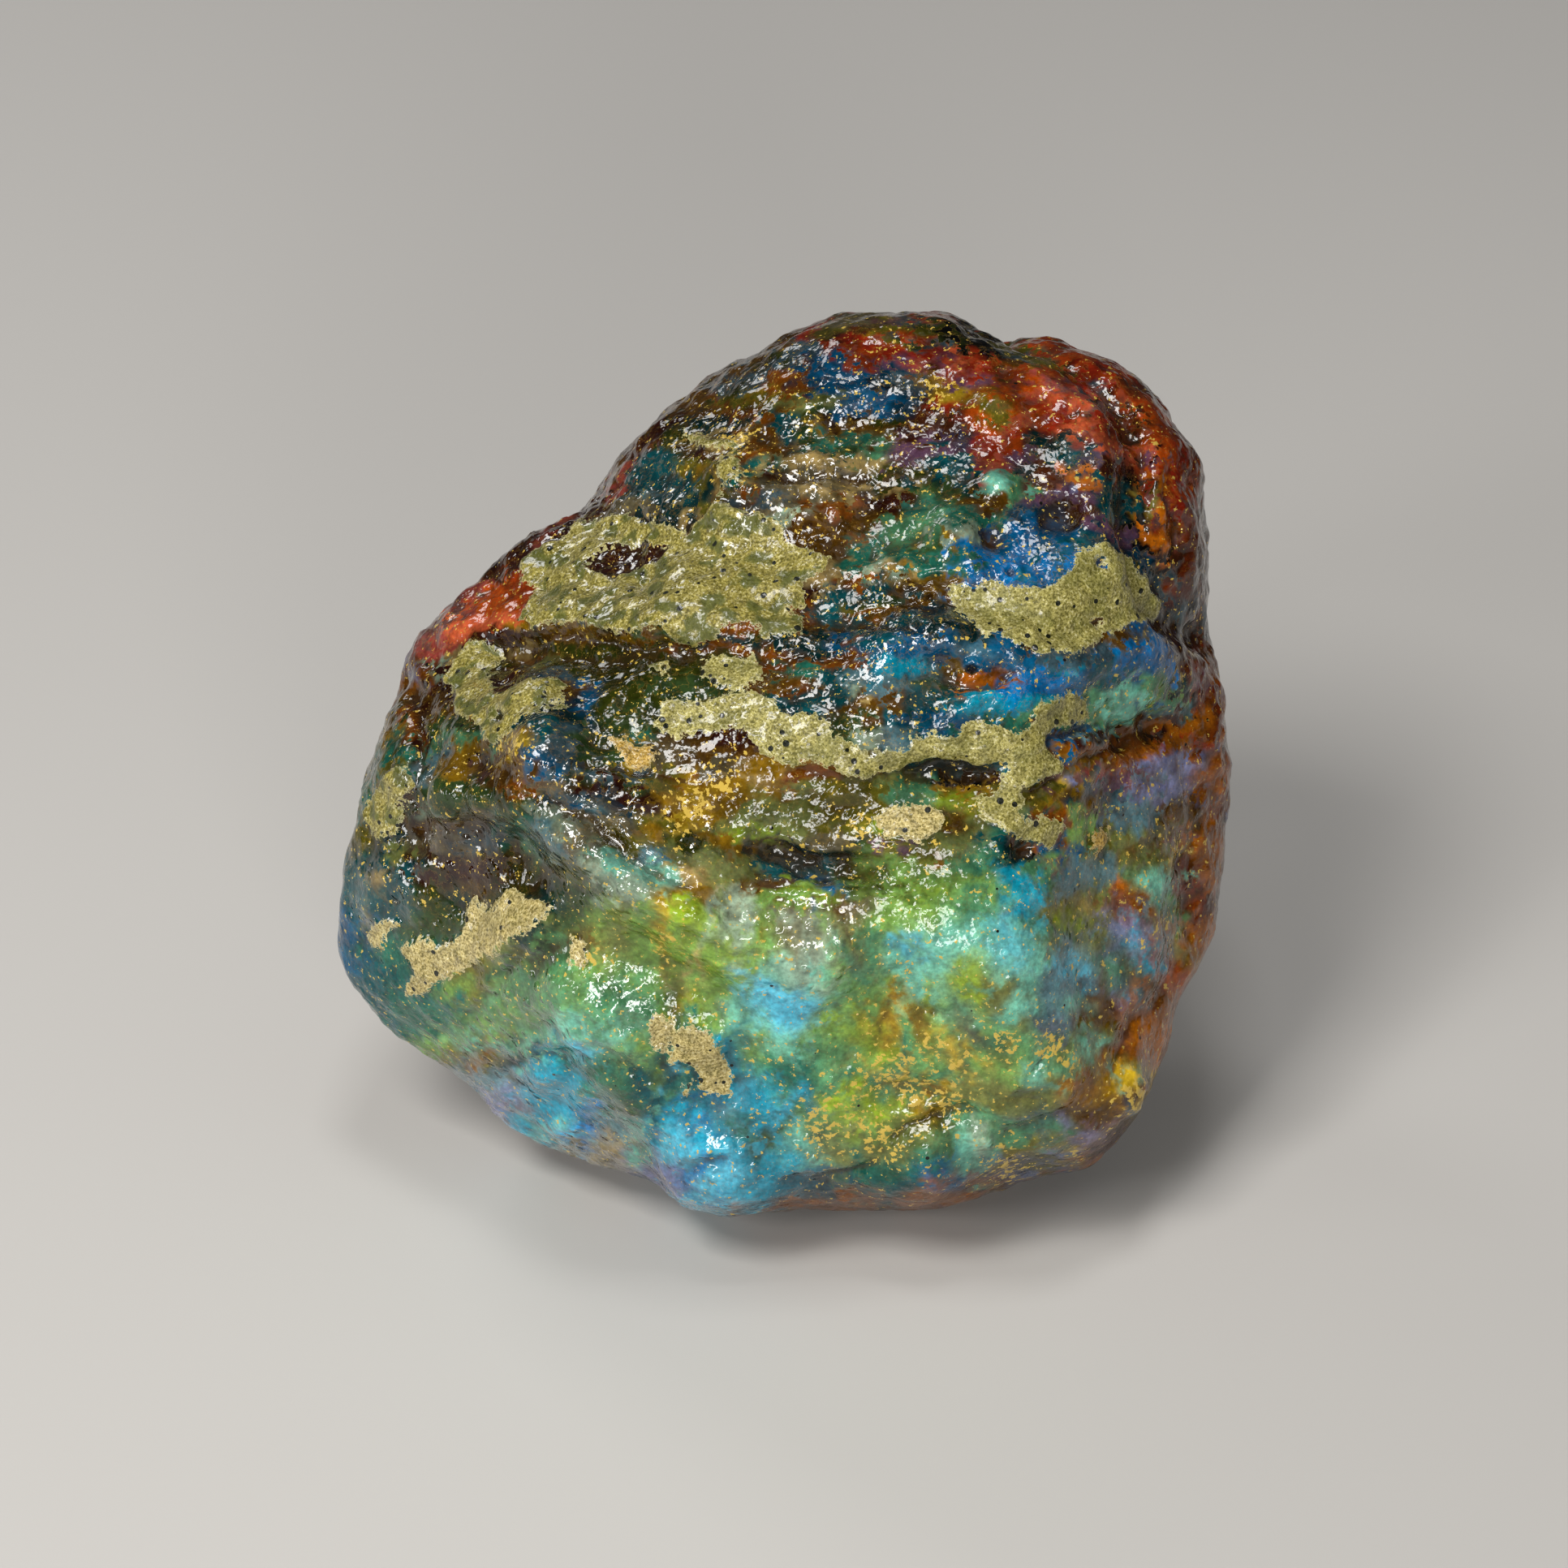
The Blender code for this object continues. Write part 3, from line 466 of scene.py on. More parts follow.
        (870, 985, 44, 22), (818, 1165, 7, 44, 8), (562, 940, 18, 14), (1105, 1262, 30, 22),
        (1360, 1350, 20, 14, 10), (945, 945, 30, 9), (1345, 935, 24, 8), (1295, 990, 26, 6),
        (1172, 822, 9, 9, 40), (1165, 975, 26, 6), (1412, 620, 7, 20), (1205, 498, 24, 6),
        (690, 770, 60, 4, -2), (800, 1030, 16, 8), (1380, 1060, 10, 16), (895, 1045, 22, 6, -25),
        (905, 585, 12, 9), (1325, 1350, 16, 10), (740, 775, 30, 3), (1120, 715, 28, 5),
        (1155, 665, 12, 5, -30), (1335, 1115, 12, 7), (810, 1100, 8, 20), (1235, 1436, 12, 7, 20),
        (950, 965, 26, 8), (1330, 1320, 12, 7), (860, 1100, 20, 7), (1150, 1355, 16, 7, 30),
        (830, 1225, 8, 14, 20), (1065, 410, 8, 5), (1350, 985, 20, 6), (480, 905, 8, 12, 30),
        (940, 482, 18, 5, 8),
    ),
    "gold": (
        (1168, 488, 16, 9), (850, 1000, 26, 12, 10), (1400, 1345, 16, 13, 20), (1095, 1255, 20, 12, 40),
        (1452, 825, 4, 18), (1458, 1050, 6, 15), (1432, 1140, 9, 9), (1320, 968, 8, 14),
        (862, 978, 24, 10), (1065, 1020, 12, 9), (1160, 1355, 14, 8, 30), (1205, 1298, 12, 6),
        (1065, 1320, 26, 5), (1240, 1275, 10, 6), (1326, 1422, 10, 7), (1145, 1285, 20, 5),
        (1180, 1315, 6, 12, 20), (1110, 1320, 7, 12), (820, 1140, 5, 34, 5), (635, 925, 12, 7),
        (780, 925, 20, 9, -30), (1060, 1268, 12, 9), (1140, 1365, 12, 5, 20), (1155, 668, 10, 4, -20),
    ),
    "tan": (
        (880, 545, 30, 9, 5), (905, 580, 10, 22, -20), (638, 795, 10, 7), (1000, 700, 20, 8, 20),
        (1110, 714, 24, 5), (925, 555, 8, 5), (1050, 572, 50, 5, -2), (860, 640, 12, 14),
        (470, 1118, 9, 9), (465, 1086, 12, 12), (1085, 1200, 5, 8, 30), (745, 1412, 24, 8, -5),
        (1335, 1110, 10, 5), (990, 575, 30, 6, -4), (1075, 860, 10, 8, 20), (850, 1200, 20, 9),
        (850, 1075, 14, 9), (905, 950, 16, 9), (930, 960, 12, 7), (560, 815, 9, 7), (1040, 600, 44, 7),
        (1005, 715, 20, 13),
    ),
    "ash": (
        (1020, 1030, 40, 12), (1010, 590, 60, 14), (930, 630, 40, 12, 10), (640, 1120, 30, 12),
        (1060, 395, 30, 6, 15), (1190, 1260, 14, 14), (1330, 950, 16, 14), (880, 945, 30, 12),
        (720, 1010, 20, 9, -20), (1415, 1035, 14, 16), (760, 1010, 26, 9, -30), (1050, 1120, 20, 16),
        (1395, 790, 24, 8), (575, 1000, 30, 9, 10), (950, 1040, 26, 6), (690, 970, 30, 8),
        (1190, 1048, 18, 10), (830, 930, 20, 14), (1290, 440, 20, 6, -18), (740, 1425, 30, 8, -12),
        (520, 1040, 24, 14), (800, 628, 26, 10, 10), (945, 600, 22, 7), (1000, 1150, 46, 22),
        (720, 1040, 34, 14, -35), (575, 1050, 40, 10),
    ),
}

# Crust patches: an outline each, a colour, and how far it is worn through to dark resin
MOSSY = (0.68, 0.63, 0.31, 0.85)
STRAW = (0.73, 0.69, 0.39, 0.30)
TAN = (0.86, 0.78, 0.51, 0.15)
FLAKE = (0.84, 0.68, 0.32, 0.0)
CRUSTS = {
    "terrace": (MOSSY, (
        (639, 763), (656, 729), (643, 715), (644, 691), (663, 681), (684, 663), (708, 646), (767, 636),
        (801, 643), (846, 653), (863, 639), (884, 619), (891, 594), (880, 574), (887, 560), (904, 567),
        (915, 588), (891, 601), (887, 622), (904, 629), (939, 639), (963, 650), (977, 670), (1021, 687),
        (1018, 701), (990, 725), (987, 746), (977, 753), (990, 767), (987, 780), (942, 784), (922, 770),
        (891, 767), (880, 787), (860, 794), (832, 791), (801, 767), (780, 780), (753, 777), (708, 763),
        (691, 770), (663, 770),
    )),
    "crown_arm": (MOSSY, (
        (841, 536), (860, 533), (881, 542), (909, 542), (902, 551), (872, 554), (860, 545),
    )),
    "shoulder": (MOSSY, (
        (547, 840), (553, 825), (573, 793), (599, 787), (620, 802), (617, 819), (602, 831), (605, 843),
        (608, 857), (623, 857), (641, 849), (676, 846), (693, 847), (701, 860), (693, 875), (673, 887),
        (649, 898), (641, 907), (617, 916), (605, 916), (599, 904), (582, 887), (567, 881), (564, 863),
        (558, 851),
    )),
    "comma": (STRAW, (
        (1169, 729), (1179, 721), (1204, 720), (1220, 712), (1233, 720), (1249, 728), (1281, 726),
        (1303, 717), (1319, 697), (1332, 678), (1354, 669), (1373, 675), (1395, 697), (1411, 717),
        (1427, 736), (1437, 742), (1424, 758), (1405, 768), (1379, 774), (1357, 783), (1338, 796),
        (1335, 804), (1316, 801), (1281, 801), (1255, 793), (1236, 783), (1217, 783), (1207, 777),
        (1191, 761), (1175, 748),
    )),
    "band": (STRAW, (
        (813, 891), (815, 870), (835, 863), (860, 866), (877, 860), (935, 856), (956, 863), (973, 884),
        (1000, 881), (1022, 892), (1027, 908), (1061, 917), (1073, 927), (1105, 921), (1128, 905),
        (1182, 903), (1185, 892), (1220, 892), (1249, 905), (1271, 892), (1274, 879), (1290, 860),
        (1316, 850), (1335, 860), (1341, 882), (1332, 892), (1306, 898), (1287, 917), (1304, 931),
        (1312, 945), (1302, 954), (1266, 964), (1254, 978), (1261, 985), (1254, 999), (1261, 1006),
        (1292, 1005), (1311, 1013), (1311, 1025), (1297, 1042), (1278, 1043), (1261, 1030), (1247, 1030),
        (1231, 1020), (1207, 1002), (1197, 985), (1207, 980), (1231, 973), (1233, 959), (1243, 943),
        (1207, 938), (1160, 936), (1117, 940), (1089, 952), (1049, 955), (1010, 941), (970, 941),
        (948, 933), (933, 921), (915, 903), (896, 898), (872, 900), (835, 909), (814, 900),
    )),
    "island": (STRAW, (
        (863, 832), (866, 815), (891, 808), (932, 811), (942, 822), (939, 839), (922, 853), (904, 853),
        (891, 846),
    )),
    "star": (MOSSY, ((796, 822), (806, 818), (812, 816), (825, 818), (822, 828), (810, 831), (801, 830))),
    "nub": (FLAKE, (
        (749, 910), (767, 907), (781, 922), (805, 922), (815, 934), (808, 939), (781, 948), (764, 931),
    )),
    "egg": (TAN, (
        (1081, 1007), (1104, 995), (1135, 992), (1160, 998), (1161, 1013), (1147, 1031), (1132, 1044),
        (1120, 1034), (1092, 1031),
    )),
    "left_lobe": (MOSSY, (
        (459, 1027), (447, 1004), (465, 975), (485, 948), (506, 945), (509, 963), (500, 983), (497, 1004),
        (488, 1022), (467, 1033),
    )),
    "foot": (TAN, (
        (494, 1172), (503, 1163), (515, 1152), (530, 1157), (540, 1165), (555, 1158), (570, 1148),
        (573, 1130), (576, 1113), (580, 1103), (590, 1108), (598, 1122), (610, 1118), (618, 1105),
        (628, 1095), (640, 1099), (650, 1108), (665, 1110), (680, 1112), (673, 1125), (663, 1140),
        (650, 1150), (632, 1153), (620, 1160), (618, 1175), (608, 1182), (600, 1176), (590, 1185),
        (575, 1193), (560, 1202), (545, 1210), (532, 1215), (520, 1222), (508, 1228), (500, 1215),
        (510, 1200), (505, 1185),
    )),
    "button": (TAN, (
        (455, 1150), (465, 1140), (480, 1131), (490, 1133), (487, 1143), (478, 1150), (473, 1163),
        (460, 1166), (454, 1160),
    )),
    "drop": (TAN, ((702, 1154), (720, 1166), (726, 1181), (717, 1191), (705, 1184), (704, 1169))),
    "boot": (TAN, (
        (802, 1252), (812, 1250), (822, 1256), (830, 1263), (838, 1265), (848, 1262), (858, 1266),
        (868, 1268), (878, 1280), (888, 1295), (898, 1310), (902, 1345), (888, 1350), (878, 1347),
        (868, 1340), (860, 1338), (862, 1325), (850, 1312), (838, 1308), (826, 1310), (822, 1297),
        (812, 1292), (802, 1292), (797, 1278),
    )),
    "crumb": (TAN, ((838, 1332), (848, 1330), (850, 1348), (840, 1351))),
    "flake": (FLAKE, ((1342, 1021), (1352, 1025), (1369, 1019), (1362, 1035), (1352, 1055), (1342, 1046))),
}
CRUST_HOLES = {
    "long": ((724, 704), (740, 676), (794, 664), (826, 676), (812, 692), (778, 699), (758, 714)),
    "lens": ((611, 884), (617, 877), (626, 880), (624, 889), (615, 891)),
    "slit": ((1347, 688), (1354, 686), (1362, 692), (1360, 698), (1351, 695)),
    "heel": ((822, 1283), (828, 1280), (829, 1291), (824, 1293)),
    "eyelet": ((1345, 768), (1350, 763), (1356, 768), (1350, 774)),
}


class Line(NamedTuple):
    """A fold, or a groove where the height is below 0, with its half width and height in mm."""

    half_width: float
    height: float
    places: tuple


LINES = {
    "crown_bank": Line(0.45, 0.34, ((955, 578), (1000, 568), (1050, 563), (1085, 560))),
    "crown_rift": Line(0.40, -0.45, ((930, 588), (990, 585), (1050, 588), (1090, 596))),
    "crown_shelf": Line(0.50, 0.40, ((905, 598), (945, 600), (990, 602), (1035, 608))),
    "crown_wave": Line(0.55, 0.30, ((700, 640), (760, 626), (800, 616), (840, 606))),
    "crown_swell": Line(0.70, 0.25, ((930, 520), (990, 500), (1060, 480), (1130, 462))),
    "crown_furrow": Line(0.45, -0.22, ((900, 520), (960, 545), (1040, 530), (1110, 520))),
    "green_fold": Line(0.55, 0.42, ((1032, 702), (1096, 694), (1153, 701), (1207, 692))),
    "green_furrow": Line(0.40, -0.35, ((1035, 716), (1100, 724), (1160, 724), (1175, 716))),
    "teal_fold": Line(0.50, 0.36, ((1000, 764), (1060, 752), (1120, 762), (1170, 780), (1215, 792))),
    "teal_furrow": Line(0.35, -0.30, ((1000, 780), (1060, 770), (1120, 776), (1170, 790))),
    "blue_fold": Line(0.60, 0.42, ((1064, 795), (1120, 786), (1179, 797), (1207, 804), (1242, 814))),
    "rust_crease": Line(0.32, -0.45, ((950, 816), (1000, 812), (1040, 806), (1070, 804))),
    "orange_crease": Line(0.38, -0.60, ((1165, 838), (1200, 845), (1230, 840), (1258, 829))),
    "azure_fold": Line(0.90, 0.50, ((1179, 880), (1230, 863), (1290, 848), (1335, 828), (1380, 812))),
    "band_bank": Line(0.50, 0.45, ((1064, 908), (1085, 905), (1106, 911))),
    "shelf_rift": Line(0.60, -0.50, (
        (560, 792), (640, 799), (700, 790), (780, 800), (860, 802), (930, 793),
    )),
    "shelf_line": Line(0.35, -0.35, ((520, 816), (580, 806), (640, 812), (720, 812), (800, 818))),
    "glitter_ledge": Line(1.8, 0.75, ((955, 1196), (1000, 1208), (1050, 1196))),
    "bead_crease": Line(0.40, -0.50, ((690, 952), (723, 943), (781, 952), (815, 948))),
    "brow": Line(0.95, 0.75, (
        (655, 1003), (700, 1025), (745, 1060), (790, 1095), (850, 1125), (900, 1150), (960, 1165),
        (1040, 1175),
    )),
    "upper_brow": Line(0.55, 0.45, (
        (693, 972), (730, 990), (767, 1020), (800, 1050), (850, 1080), (905, 1092),
    )),
    "brow_rift": Line(0.36, -0.42, ((680, 988), (720, 1008), (760, 1038), (800, 1073), (860, 1103))),
    "slot": Line(0.75, -0.85, ((925, 1052), (980, 1060), (1030, 1072), (1075, 1078))),
    "slot_lip": Line(0.42, 0.40, ((895, 1034), (960, 1030), (1040, 1044), (1105, 1044))),
    "slot_sill": Line(0.50, 0.35, ((930, 1100), (980, 1104), (1040, 1100), (1100, 1096))),
    "eye": Line(0.55, -0.75, ((1120, 958), (1160, 948), (1200, 951), (1235, 961))),
    "lens": Line(0.40, -0.50, ((1256, 979), (1285, 968), (1312, 959))),
    "crust_crease": Line(0.40, -0.50, ((1287, 919), (1315, 906), (1348, 892))),
    "orange_seam": Line(0.32, -0.35, ((1313, 945), (1345, 931), (1372, 922), (1405, 903))),
    "rim_seam": Line(0.60, -0.45, (
        (1490, 943), (1466, 1011), (1462, 1065), (1466, 1130), (1450, 1190), (1431, 1231), (1389, 1273),
        (1377, 1306), (1384, 1345),
    )),
    "left_seam": Line(0.45, -0.50, ((500, 832), (518, 880), (520, 930), (508, 980), (488, 1036))),
    "long_furrow": Line(0.50, -0.36, ((645, 1157), (623, 1204), (576, 1251))),
    "short_furrow": Line(0.38, -0.30, ((591, 1184), (573, 1228))),
    "olive_furrow": Line(0.55, -0.30, ((700, 1140), (725, 1185), (745, 1215))),
    "low_fold": Line(0.70, 0.50, ((652, 1297), (679, 1280), (723, 1275), (767, 1283), (800, 1302))),
    "low_crease": Line(0.45, -0.30, ((640, 1310), (690, 1300), (745, 1305))),
    "sky_fold": Line(0.60, 0.42, ((845, 1420), (880, 1412), (915, 1420))),
    "sky_rift": Line(0.45, -0.45, ((845, 1436), (870, 1432), (900, 1440))),
    "toe_edge": Line(0.55, 0.50, ((806, 1424), (836, 1452), (857, 1477))),
    "keel_rift": Line(0.50, -0.65, ((970, 1452), (1020, 1452), (1055, 1444), (1086, 1425))),
    "keel_shelf": Line(0.50, -0.62, ((1086, 1415), (1110, 1398), (1132, 1382), (1187, 1370), (1220, 1382))),
    "gold_vein": Line(0.25, 0.16, ((976, 1379), (1010, 1345), (1040, 1322), (1086, 1324), (1112, 1328))),
    "gold_branch": Line(0.22, 0.15, ((1120, 1302), (1150, 1290), (1178, 1296), (1180, 1318))),
    "gold_root": Line(0.22, 0.15, ((1138, 1372), (1158, 1356), (1178, 1350))),
    "crown_groove": Line(0.60, -0.55, (
        (1235, 420), (1300, 450), (1350, 480), (1385, 512), (1402, 552), (1408, 600), (1412, 650),
        (1425, 700), (1442, 748), (1470, 785),
    )),
    "lobe_crease": Line(0.40, -0.40, ((1438, 600), (1448, 640), (1452, 690), (1466, 740))),
    "lobe_strip": Line(0.45, 0.40, ((1456, 592), (1464, 640), (1468, 690))),
    "rim_ripple": Line(0.50, 0.35, ((1490, 820), (1496, 880), (1500, 940))),
    "face_crease": Line(0.30, -0.20, ((1074, 1302), (1086, 1268), (1095, 1238))),
    "crack": Line(0.14, -0.22, ((1096, 1058), (1094, 1076), (1098, 1098))),
    "level_crack": Line(0.14, -0.20, ((1072, 1098), (1100, 1095), (1132, 1101))),
    "dark_cut": Line(0.16, -0.25, ((1262, 1330), (1280, 1312), (1292, 1298))),
    "fan_rib": Line(0.70, 0.25, ((900, 1200), (960, 1260), (990, 1330))),
    "right_rib": Line(0.90, 0.22, ((1250, 1060), (1290, 1140), (1300, 1220))),
    "chin_fold": Line(0.60, 0.35, ((1210, 1345), (1270, 1330), (1330, 1318))),
    "heel_fold": Line(0.55, -0.40, ((1230, 1400), (1290, 1385), (1350, 1372))),
}

# Beads, pits and ring craters: u, v and radius in pixels, and height in mm
SPOTS = {
    "bead": (
        (958, 615, 15, 0.38), (1012, 612, 19, 0.45), (988, 638, 12, 0.4), (1032, 632, 11, 0.3),
        (818, 632, 17, 0.48), (905, 645, 16, 0.42), (936, 651, 15, 0.38), (1225, 505, 18, 0.45),
        (1233, 595, 15, 0.6), (1182, 652, 25, 0.75), (1204, 707, 12, 0.45), (1083, 718, 12, 0.4),
        (1077, 870, 32, 0.65), (656, 870, 38, 0.75), (682, 932, 28, 0.95), (540, 992, 24, 0.8),
        (572, 982, 24, 0.75), (630, 986, 19, 0.8), (558, 905, 24, 0.45), (459, 1087, 20, 0.5),
        (462, 1118, 15, 0.4), (670, 1322, 17, 0.5), (770, 1333, 17, 0.5), (696, 1383, 15, 0.4),
        (723, 1339, 13, 0.35), (868, 1458, 32, 0.5), (1150, 1438, 30, 0.55), (1208, 1397, 13, 0.55),
        (1120, 1016, 34, 0.4), (1010, 693, 16, 0.45), (1110, 812, 22, 0.35), (1060, 868, 14, 0.2),
        (940, 1130, 16, 0.3), (985, 1140, 20, 0.35), (1020, 1158, 17, 0.32), (700, 1040, 18, 0.3),
        (738, 1058, 14, 0.3), (560, 1040, 18, 0.35), (610, 1058, 20, 0.3), (860, 930, 30, 0.35),
        (1395, 1345, 22, 0.45), (1410, 812, 30, 0.4), (480, 990, 28, 0.35), (528, 1065, 10, 0.4),
    ),
    "pit": (
        (775, 686, 18, -0.45), (746, 694, 12, -0.3), (627, 838, 18, -0.5), (1220, 662, 13, -0.6),
        (1310, 634, 17, -1.1), (1422, 897, 16, -0.9), (1407, 867, 8, -0.4), (1258, 1048, 9, -0.35),
        (1185, 965, 15, -0.45), (994, 678, 7, -0.35), (1019, 519, 8, -0.35), (1075, 685, 5, -0.25),
        (1138, 690, 6, -0.25), (850, 556, 8, -0.3), (618, 884, 7, -0.3), (1354, 692, 8, -0.25),
        (590, 950, 14, -0.4), (915, 620, 8, -0.35), (1150, 1248, 6, -0.2), (1400, 1350, 7, -0.25),
    ),
    "crater": (
        (1245, 706, 10, 0.42), (1146, 737, 11, 0.5), (1197, 825, 11, 0.5), (678, 866, 7, 0.3),
    ),
}

# Where the resin is thick with gold flakes: u, v and radius
GILT = (
    (1100, 1322, 34), (1150, 1288, 20), (1165, 1352, 26), (1125, 1350, 24), (1240, 1285, 22),
    (1315, 1310, 14), (1400, 1345, 26), (1015, 1385, 36), (1065, 1325, 24), (1085, 1400, 30),
    (1240, 1438, 26), (1326, 1422, 10), (1290, 1290, 20), (850, 995, 34), (1062, 1018, 18),
    (1456, 1045, 14), (1432, 1138, 12), (1150, 480, 22), (885, 960, 26), (640, 920, 14), (1182, 1310, 14),
    (905, 545, 22), (730, 1180, 16), (820, 1160, 16),
)

# Where the wet skin is thick with small beads: u, v, radius and how strongly, from 0 to 1
BEADED = (
    (740, 1050, 90, 1.0), (985, 1145, 70, 1.0), (1010, 600, 80, 0.8), (850, 650, 110, 1.0),
    (740, 690, 110, 1.0), (1120, 800, 90, 0.7), (1190, 700, 60, 0.6), (560, 1040, 90, 0.8),
    (650, 870, 60, 0.5), (1085, 905, 50, 0.7), (870, 1040, 60, 0.7), (1210, 1410, 40, 0.5),
    (770, 1340, 60, 0.5), (905, 545, 40, 0.5), (800, 620, 60, 0.9), (1190, 1270, 50, 0.5),
    (1250, 1220, 40, 0.4), (870, 1440, 50, 0.6), (700, 1290, 50, 0.5), (925, 1310, 40, 0.4),
    (1110, 1350, 50, 0.5), (1230, 1340, 40, 0.4), (1340, 1130, 40, 0.3), (930, 1180, 50, 0.7),
    (1420, 1340, 30, 0.5), (1000, 505, 60, 0.6), (1300, 740, 60, 0.4), (960, 880, 80, 0.5),
    (520, 980, 50, 0.8), (680, 950, 50, 0.8), (600, 850, 60, 0.5), (1180, 870, 60, 0.4),
    (720, 1370, 50, 0.5), (640, 1240, 90, 0.9), (760, 1250, 90, 0.8), (480, 1110, 60, 0.9),
    (620, 1330, 80, 0.9), (730, 1400, 80, 0.9), (880, 1425, 80, 0.8), (1010, 1165, 60, 1.0),
    (1000, 1420, 70, 0.7), (560, 1180, 60, 0.7), (1400, 815, 40, 0.4), (900, 880, 50, 0.5),
)


def between(start, end, share):
    """The value that lies that share of the way from start to end."""
    return start + (end - start) * share


def smoothstep(low, high, value):
    """0 at low, 1 at high, and an easy curve between them."""
    t = np.clip((value - low) / (high - low), 0, 1)
    return t * t * (3 - 2 * t)


def linear(colour):
    """A colour as the eye sees it, in the linear values that light adds up in."""
    return [((c + 0.055) / 1.055) ** 2.4 if c > 0.04045 else c / 12.92 for c in colour]


def noise_at(points, size, octaves=4, seed=0):
    """Fractal noise, mostly between -1 and 1, with swells of about that size."""
    moved = points / size + np.array((17.3, 5.1, 9.7)) * seed
    return np.array([noise.fractal(p, 1.0, 2.0, octaves) for p in moved.tolist()])


def wander(points, size, seed):
    """A smooth random shift for each point, right and down, mostly between -1 and 1."""
    noise.seed_set(1)  # without a seed these shifts change with the clock
    moved = points / size + np.array((3.9, 21.7, 12.1)) * seed
    return np.array([noise.noise_vector(p)[:2] for p in moved.tolist()])


def even_mesh():
    """The CAD stone's surface as an even fine mesh, before any detail."""
    source = bmesh.new()
    source.from_mesh(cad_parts["nugget"].data)
    bmesh.ops.remove_doubles(source, verts=source.verts, dist=0.001 * MM)
    mesh = bpy.data.meshes.new("nugget_source")
    source.to_mesh(mesh)
    source.free()
    body = bpy.data.objects.new("nugget_source", mesh)
    bpy.context.scene.collection.objects.link(body)
    rounded = body.modifiers.new("rounded", "SUBSURF")
    rounded.levels = 2
    rounded.render_levels = 2
    evened = body.modifiers.new("evened", "REMESH")
    evened.mode = "VOXEL"
    evened.voxel_size = VOXEL
    return applied(body)


def applied(body):
    """The object's mesh with its modifiers applied. The object is removed."""
    graph = bpy.context.evaluated_depsgraph_get()
    mesh = bpy.data.meshes.new_from_object(body.evaluated_get(graph))
    bpy.data.objects.remove(body)
    return mesh


class Skin:
    """A mesh as arrays: its points, its edges and its faces' corners."""

    def __init__(self, mesh):
        self.points = read(mesh.vertices, "co", 3)
        self.edges = read(mesh.edges, "vertices", 2, int)
        mesh.calc_loop_triangles()
        self.triangles = read(mesh.loop_triangles, "vertices", 3, int)
        self.share = np.bincount(self.edges.ravel(), minlength=len(self.points))[:, None]

    def neighbours_mean(self, values):
        """The mean of each point's neighbours' values."""
        a, b = self.edges.T
        total = np.zeros_like(values)
        for column in range(values.shape[1]):
            total[:, column] = np.bincount(a, values[b, column], len(values))
            total[:, column] += np.bincount(b, values[a, column], len(values))
        return total / self.share

    def smoothed(self, values, times, shrink=False):
        """The values smoothed that many times. Unless they may shrink, each step is given back."""
        for _ in range(times):
            values = values + 0.5 * (self.neighbours_mean(values) - values)
            if not shrink:
                values = values - 0.52 * (self.neighbours_mean(values) - values)
        return values

    def normals(self):
        a, b, c = (self.points[self.triangles[:, i]] for i in range(3))
        across = np.cross(b - a, c - a)
        total = np.zeros_like(self.points)
        for corner in range(3):
            for axis in range(3):
                total[:, axis] += np.bincount(self.triangles[:, corner], across[:, axis], len(total))
        return total / np.linalg.norm(total, axis=1)[:, None]


def read(collection, name, width, kind=float):
    """One property of every item in a collection, as an array with that many columns."""
    values = np.zeros(len(collection) * width, np.int32 if kind is int else np.float32)
    collection.foreach_get(name, values)
    return values.reshape(-1, width).astype(kind)


def photo_places(points):
    """Where the camera sees each point, in the photograph's pixels."""
    right = np.array((1.0, 0.0, 0.0))
    back = np.array(TO_CAMERA)
    up = np.cross(back, right)
    away = points - np.array(AIM + TO_CAMERA * DISTANCE)
    depth = -(away @ back)
    focal = LENS / SENSOR * PHOTO_SIZE
    u = away @ right / depth * focal + PHOTO_SIZE / 2
    v = PHOTO_SIZE / 2 - away @ up / depth * focal
    return np.stack((u, v), axis=1)


def marked_places(points, facing):
    """The pixel whose marks each point wears: its own on the front, a turned one on the back."""
    places = photo_places(points)
    behind = facing < -0.22
    c, s = math.cos(BACK_TURN), math.sin(BACK_TURN)
    turn = np.array(((c, -s), (s, c)))
    places[behind] = (places[behind] - MIDDLE) @ turn * BACK_REACH + MIDDLE
    return places


def smooth_path(places, steps=6):
    """Pixels along a smooth curve through the places."""
    places = np.array(places, float)
    knots = np.vstack((2 * places[0] - places[1], places, 2 * places[-1] - places[-2]))
    curve = []
    for a, b, c, d in zip(knots, knots[1:], knots[2:], knots[3:]):
        for t in np.arange(steps) / steps:
            bend = (2 * a - 5 * b + 4 * c - d) * t**2 + (3 * b - a - 3 * c + d) * t**3
            curve.append(b + 0.5 * ((c - a) * t + bend))
    curve.append(places[-1])
    return np.array(curve)


def along_path(places, path):
    """Each place's distance to the path in pixels, and how far along it is, from 0 to 1."""
    best = np.full(len(places), np.inf)
    along = np.zeros(len(places))
    for i, (start, end) in enumerate(zip(path, path[1:])):
        step = end - start
        t = np.clip((places - start) @ step / (step @ step), 0, 1)
        distance = np.linalg.norm(places - start - t[:, None] * step, axis=1)
        closer = distance < best
        best[closer] = distance[closer]
        along[closer] = (i + t[closer]) / (len(path) - 1)
    return best, along


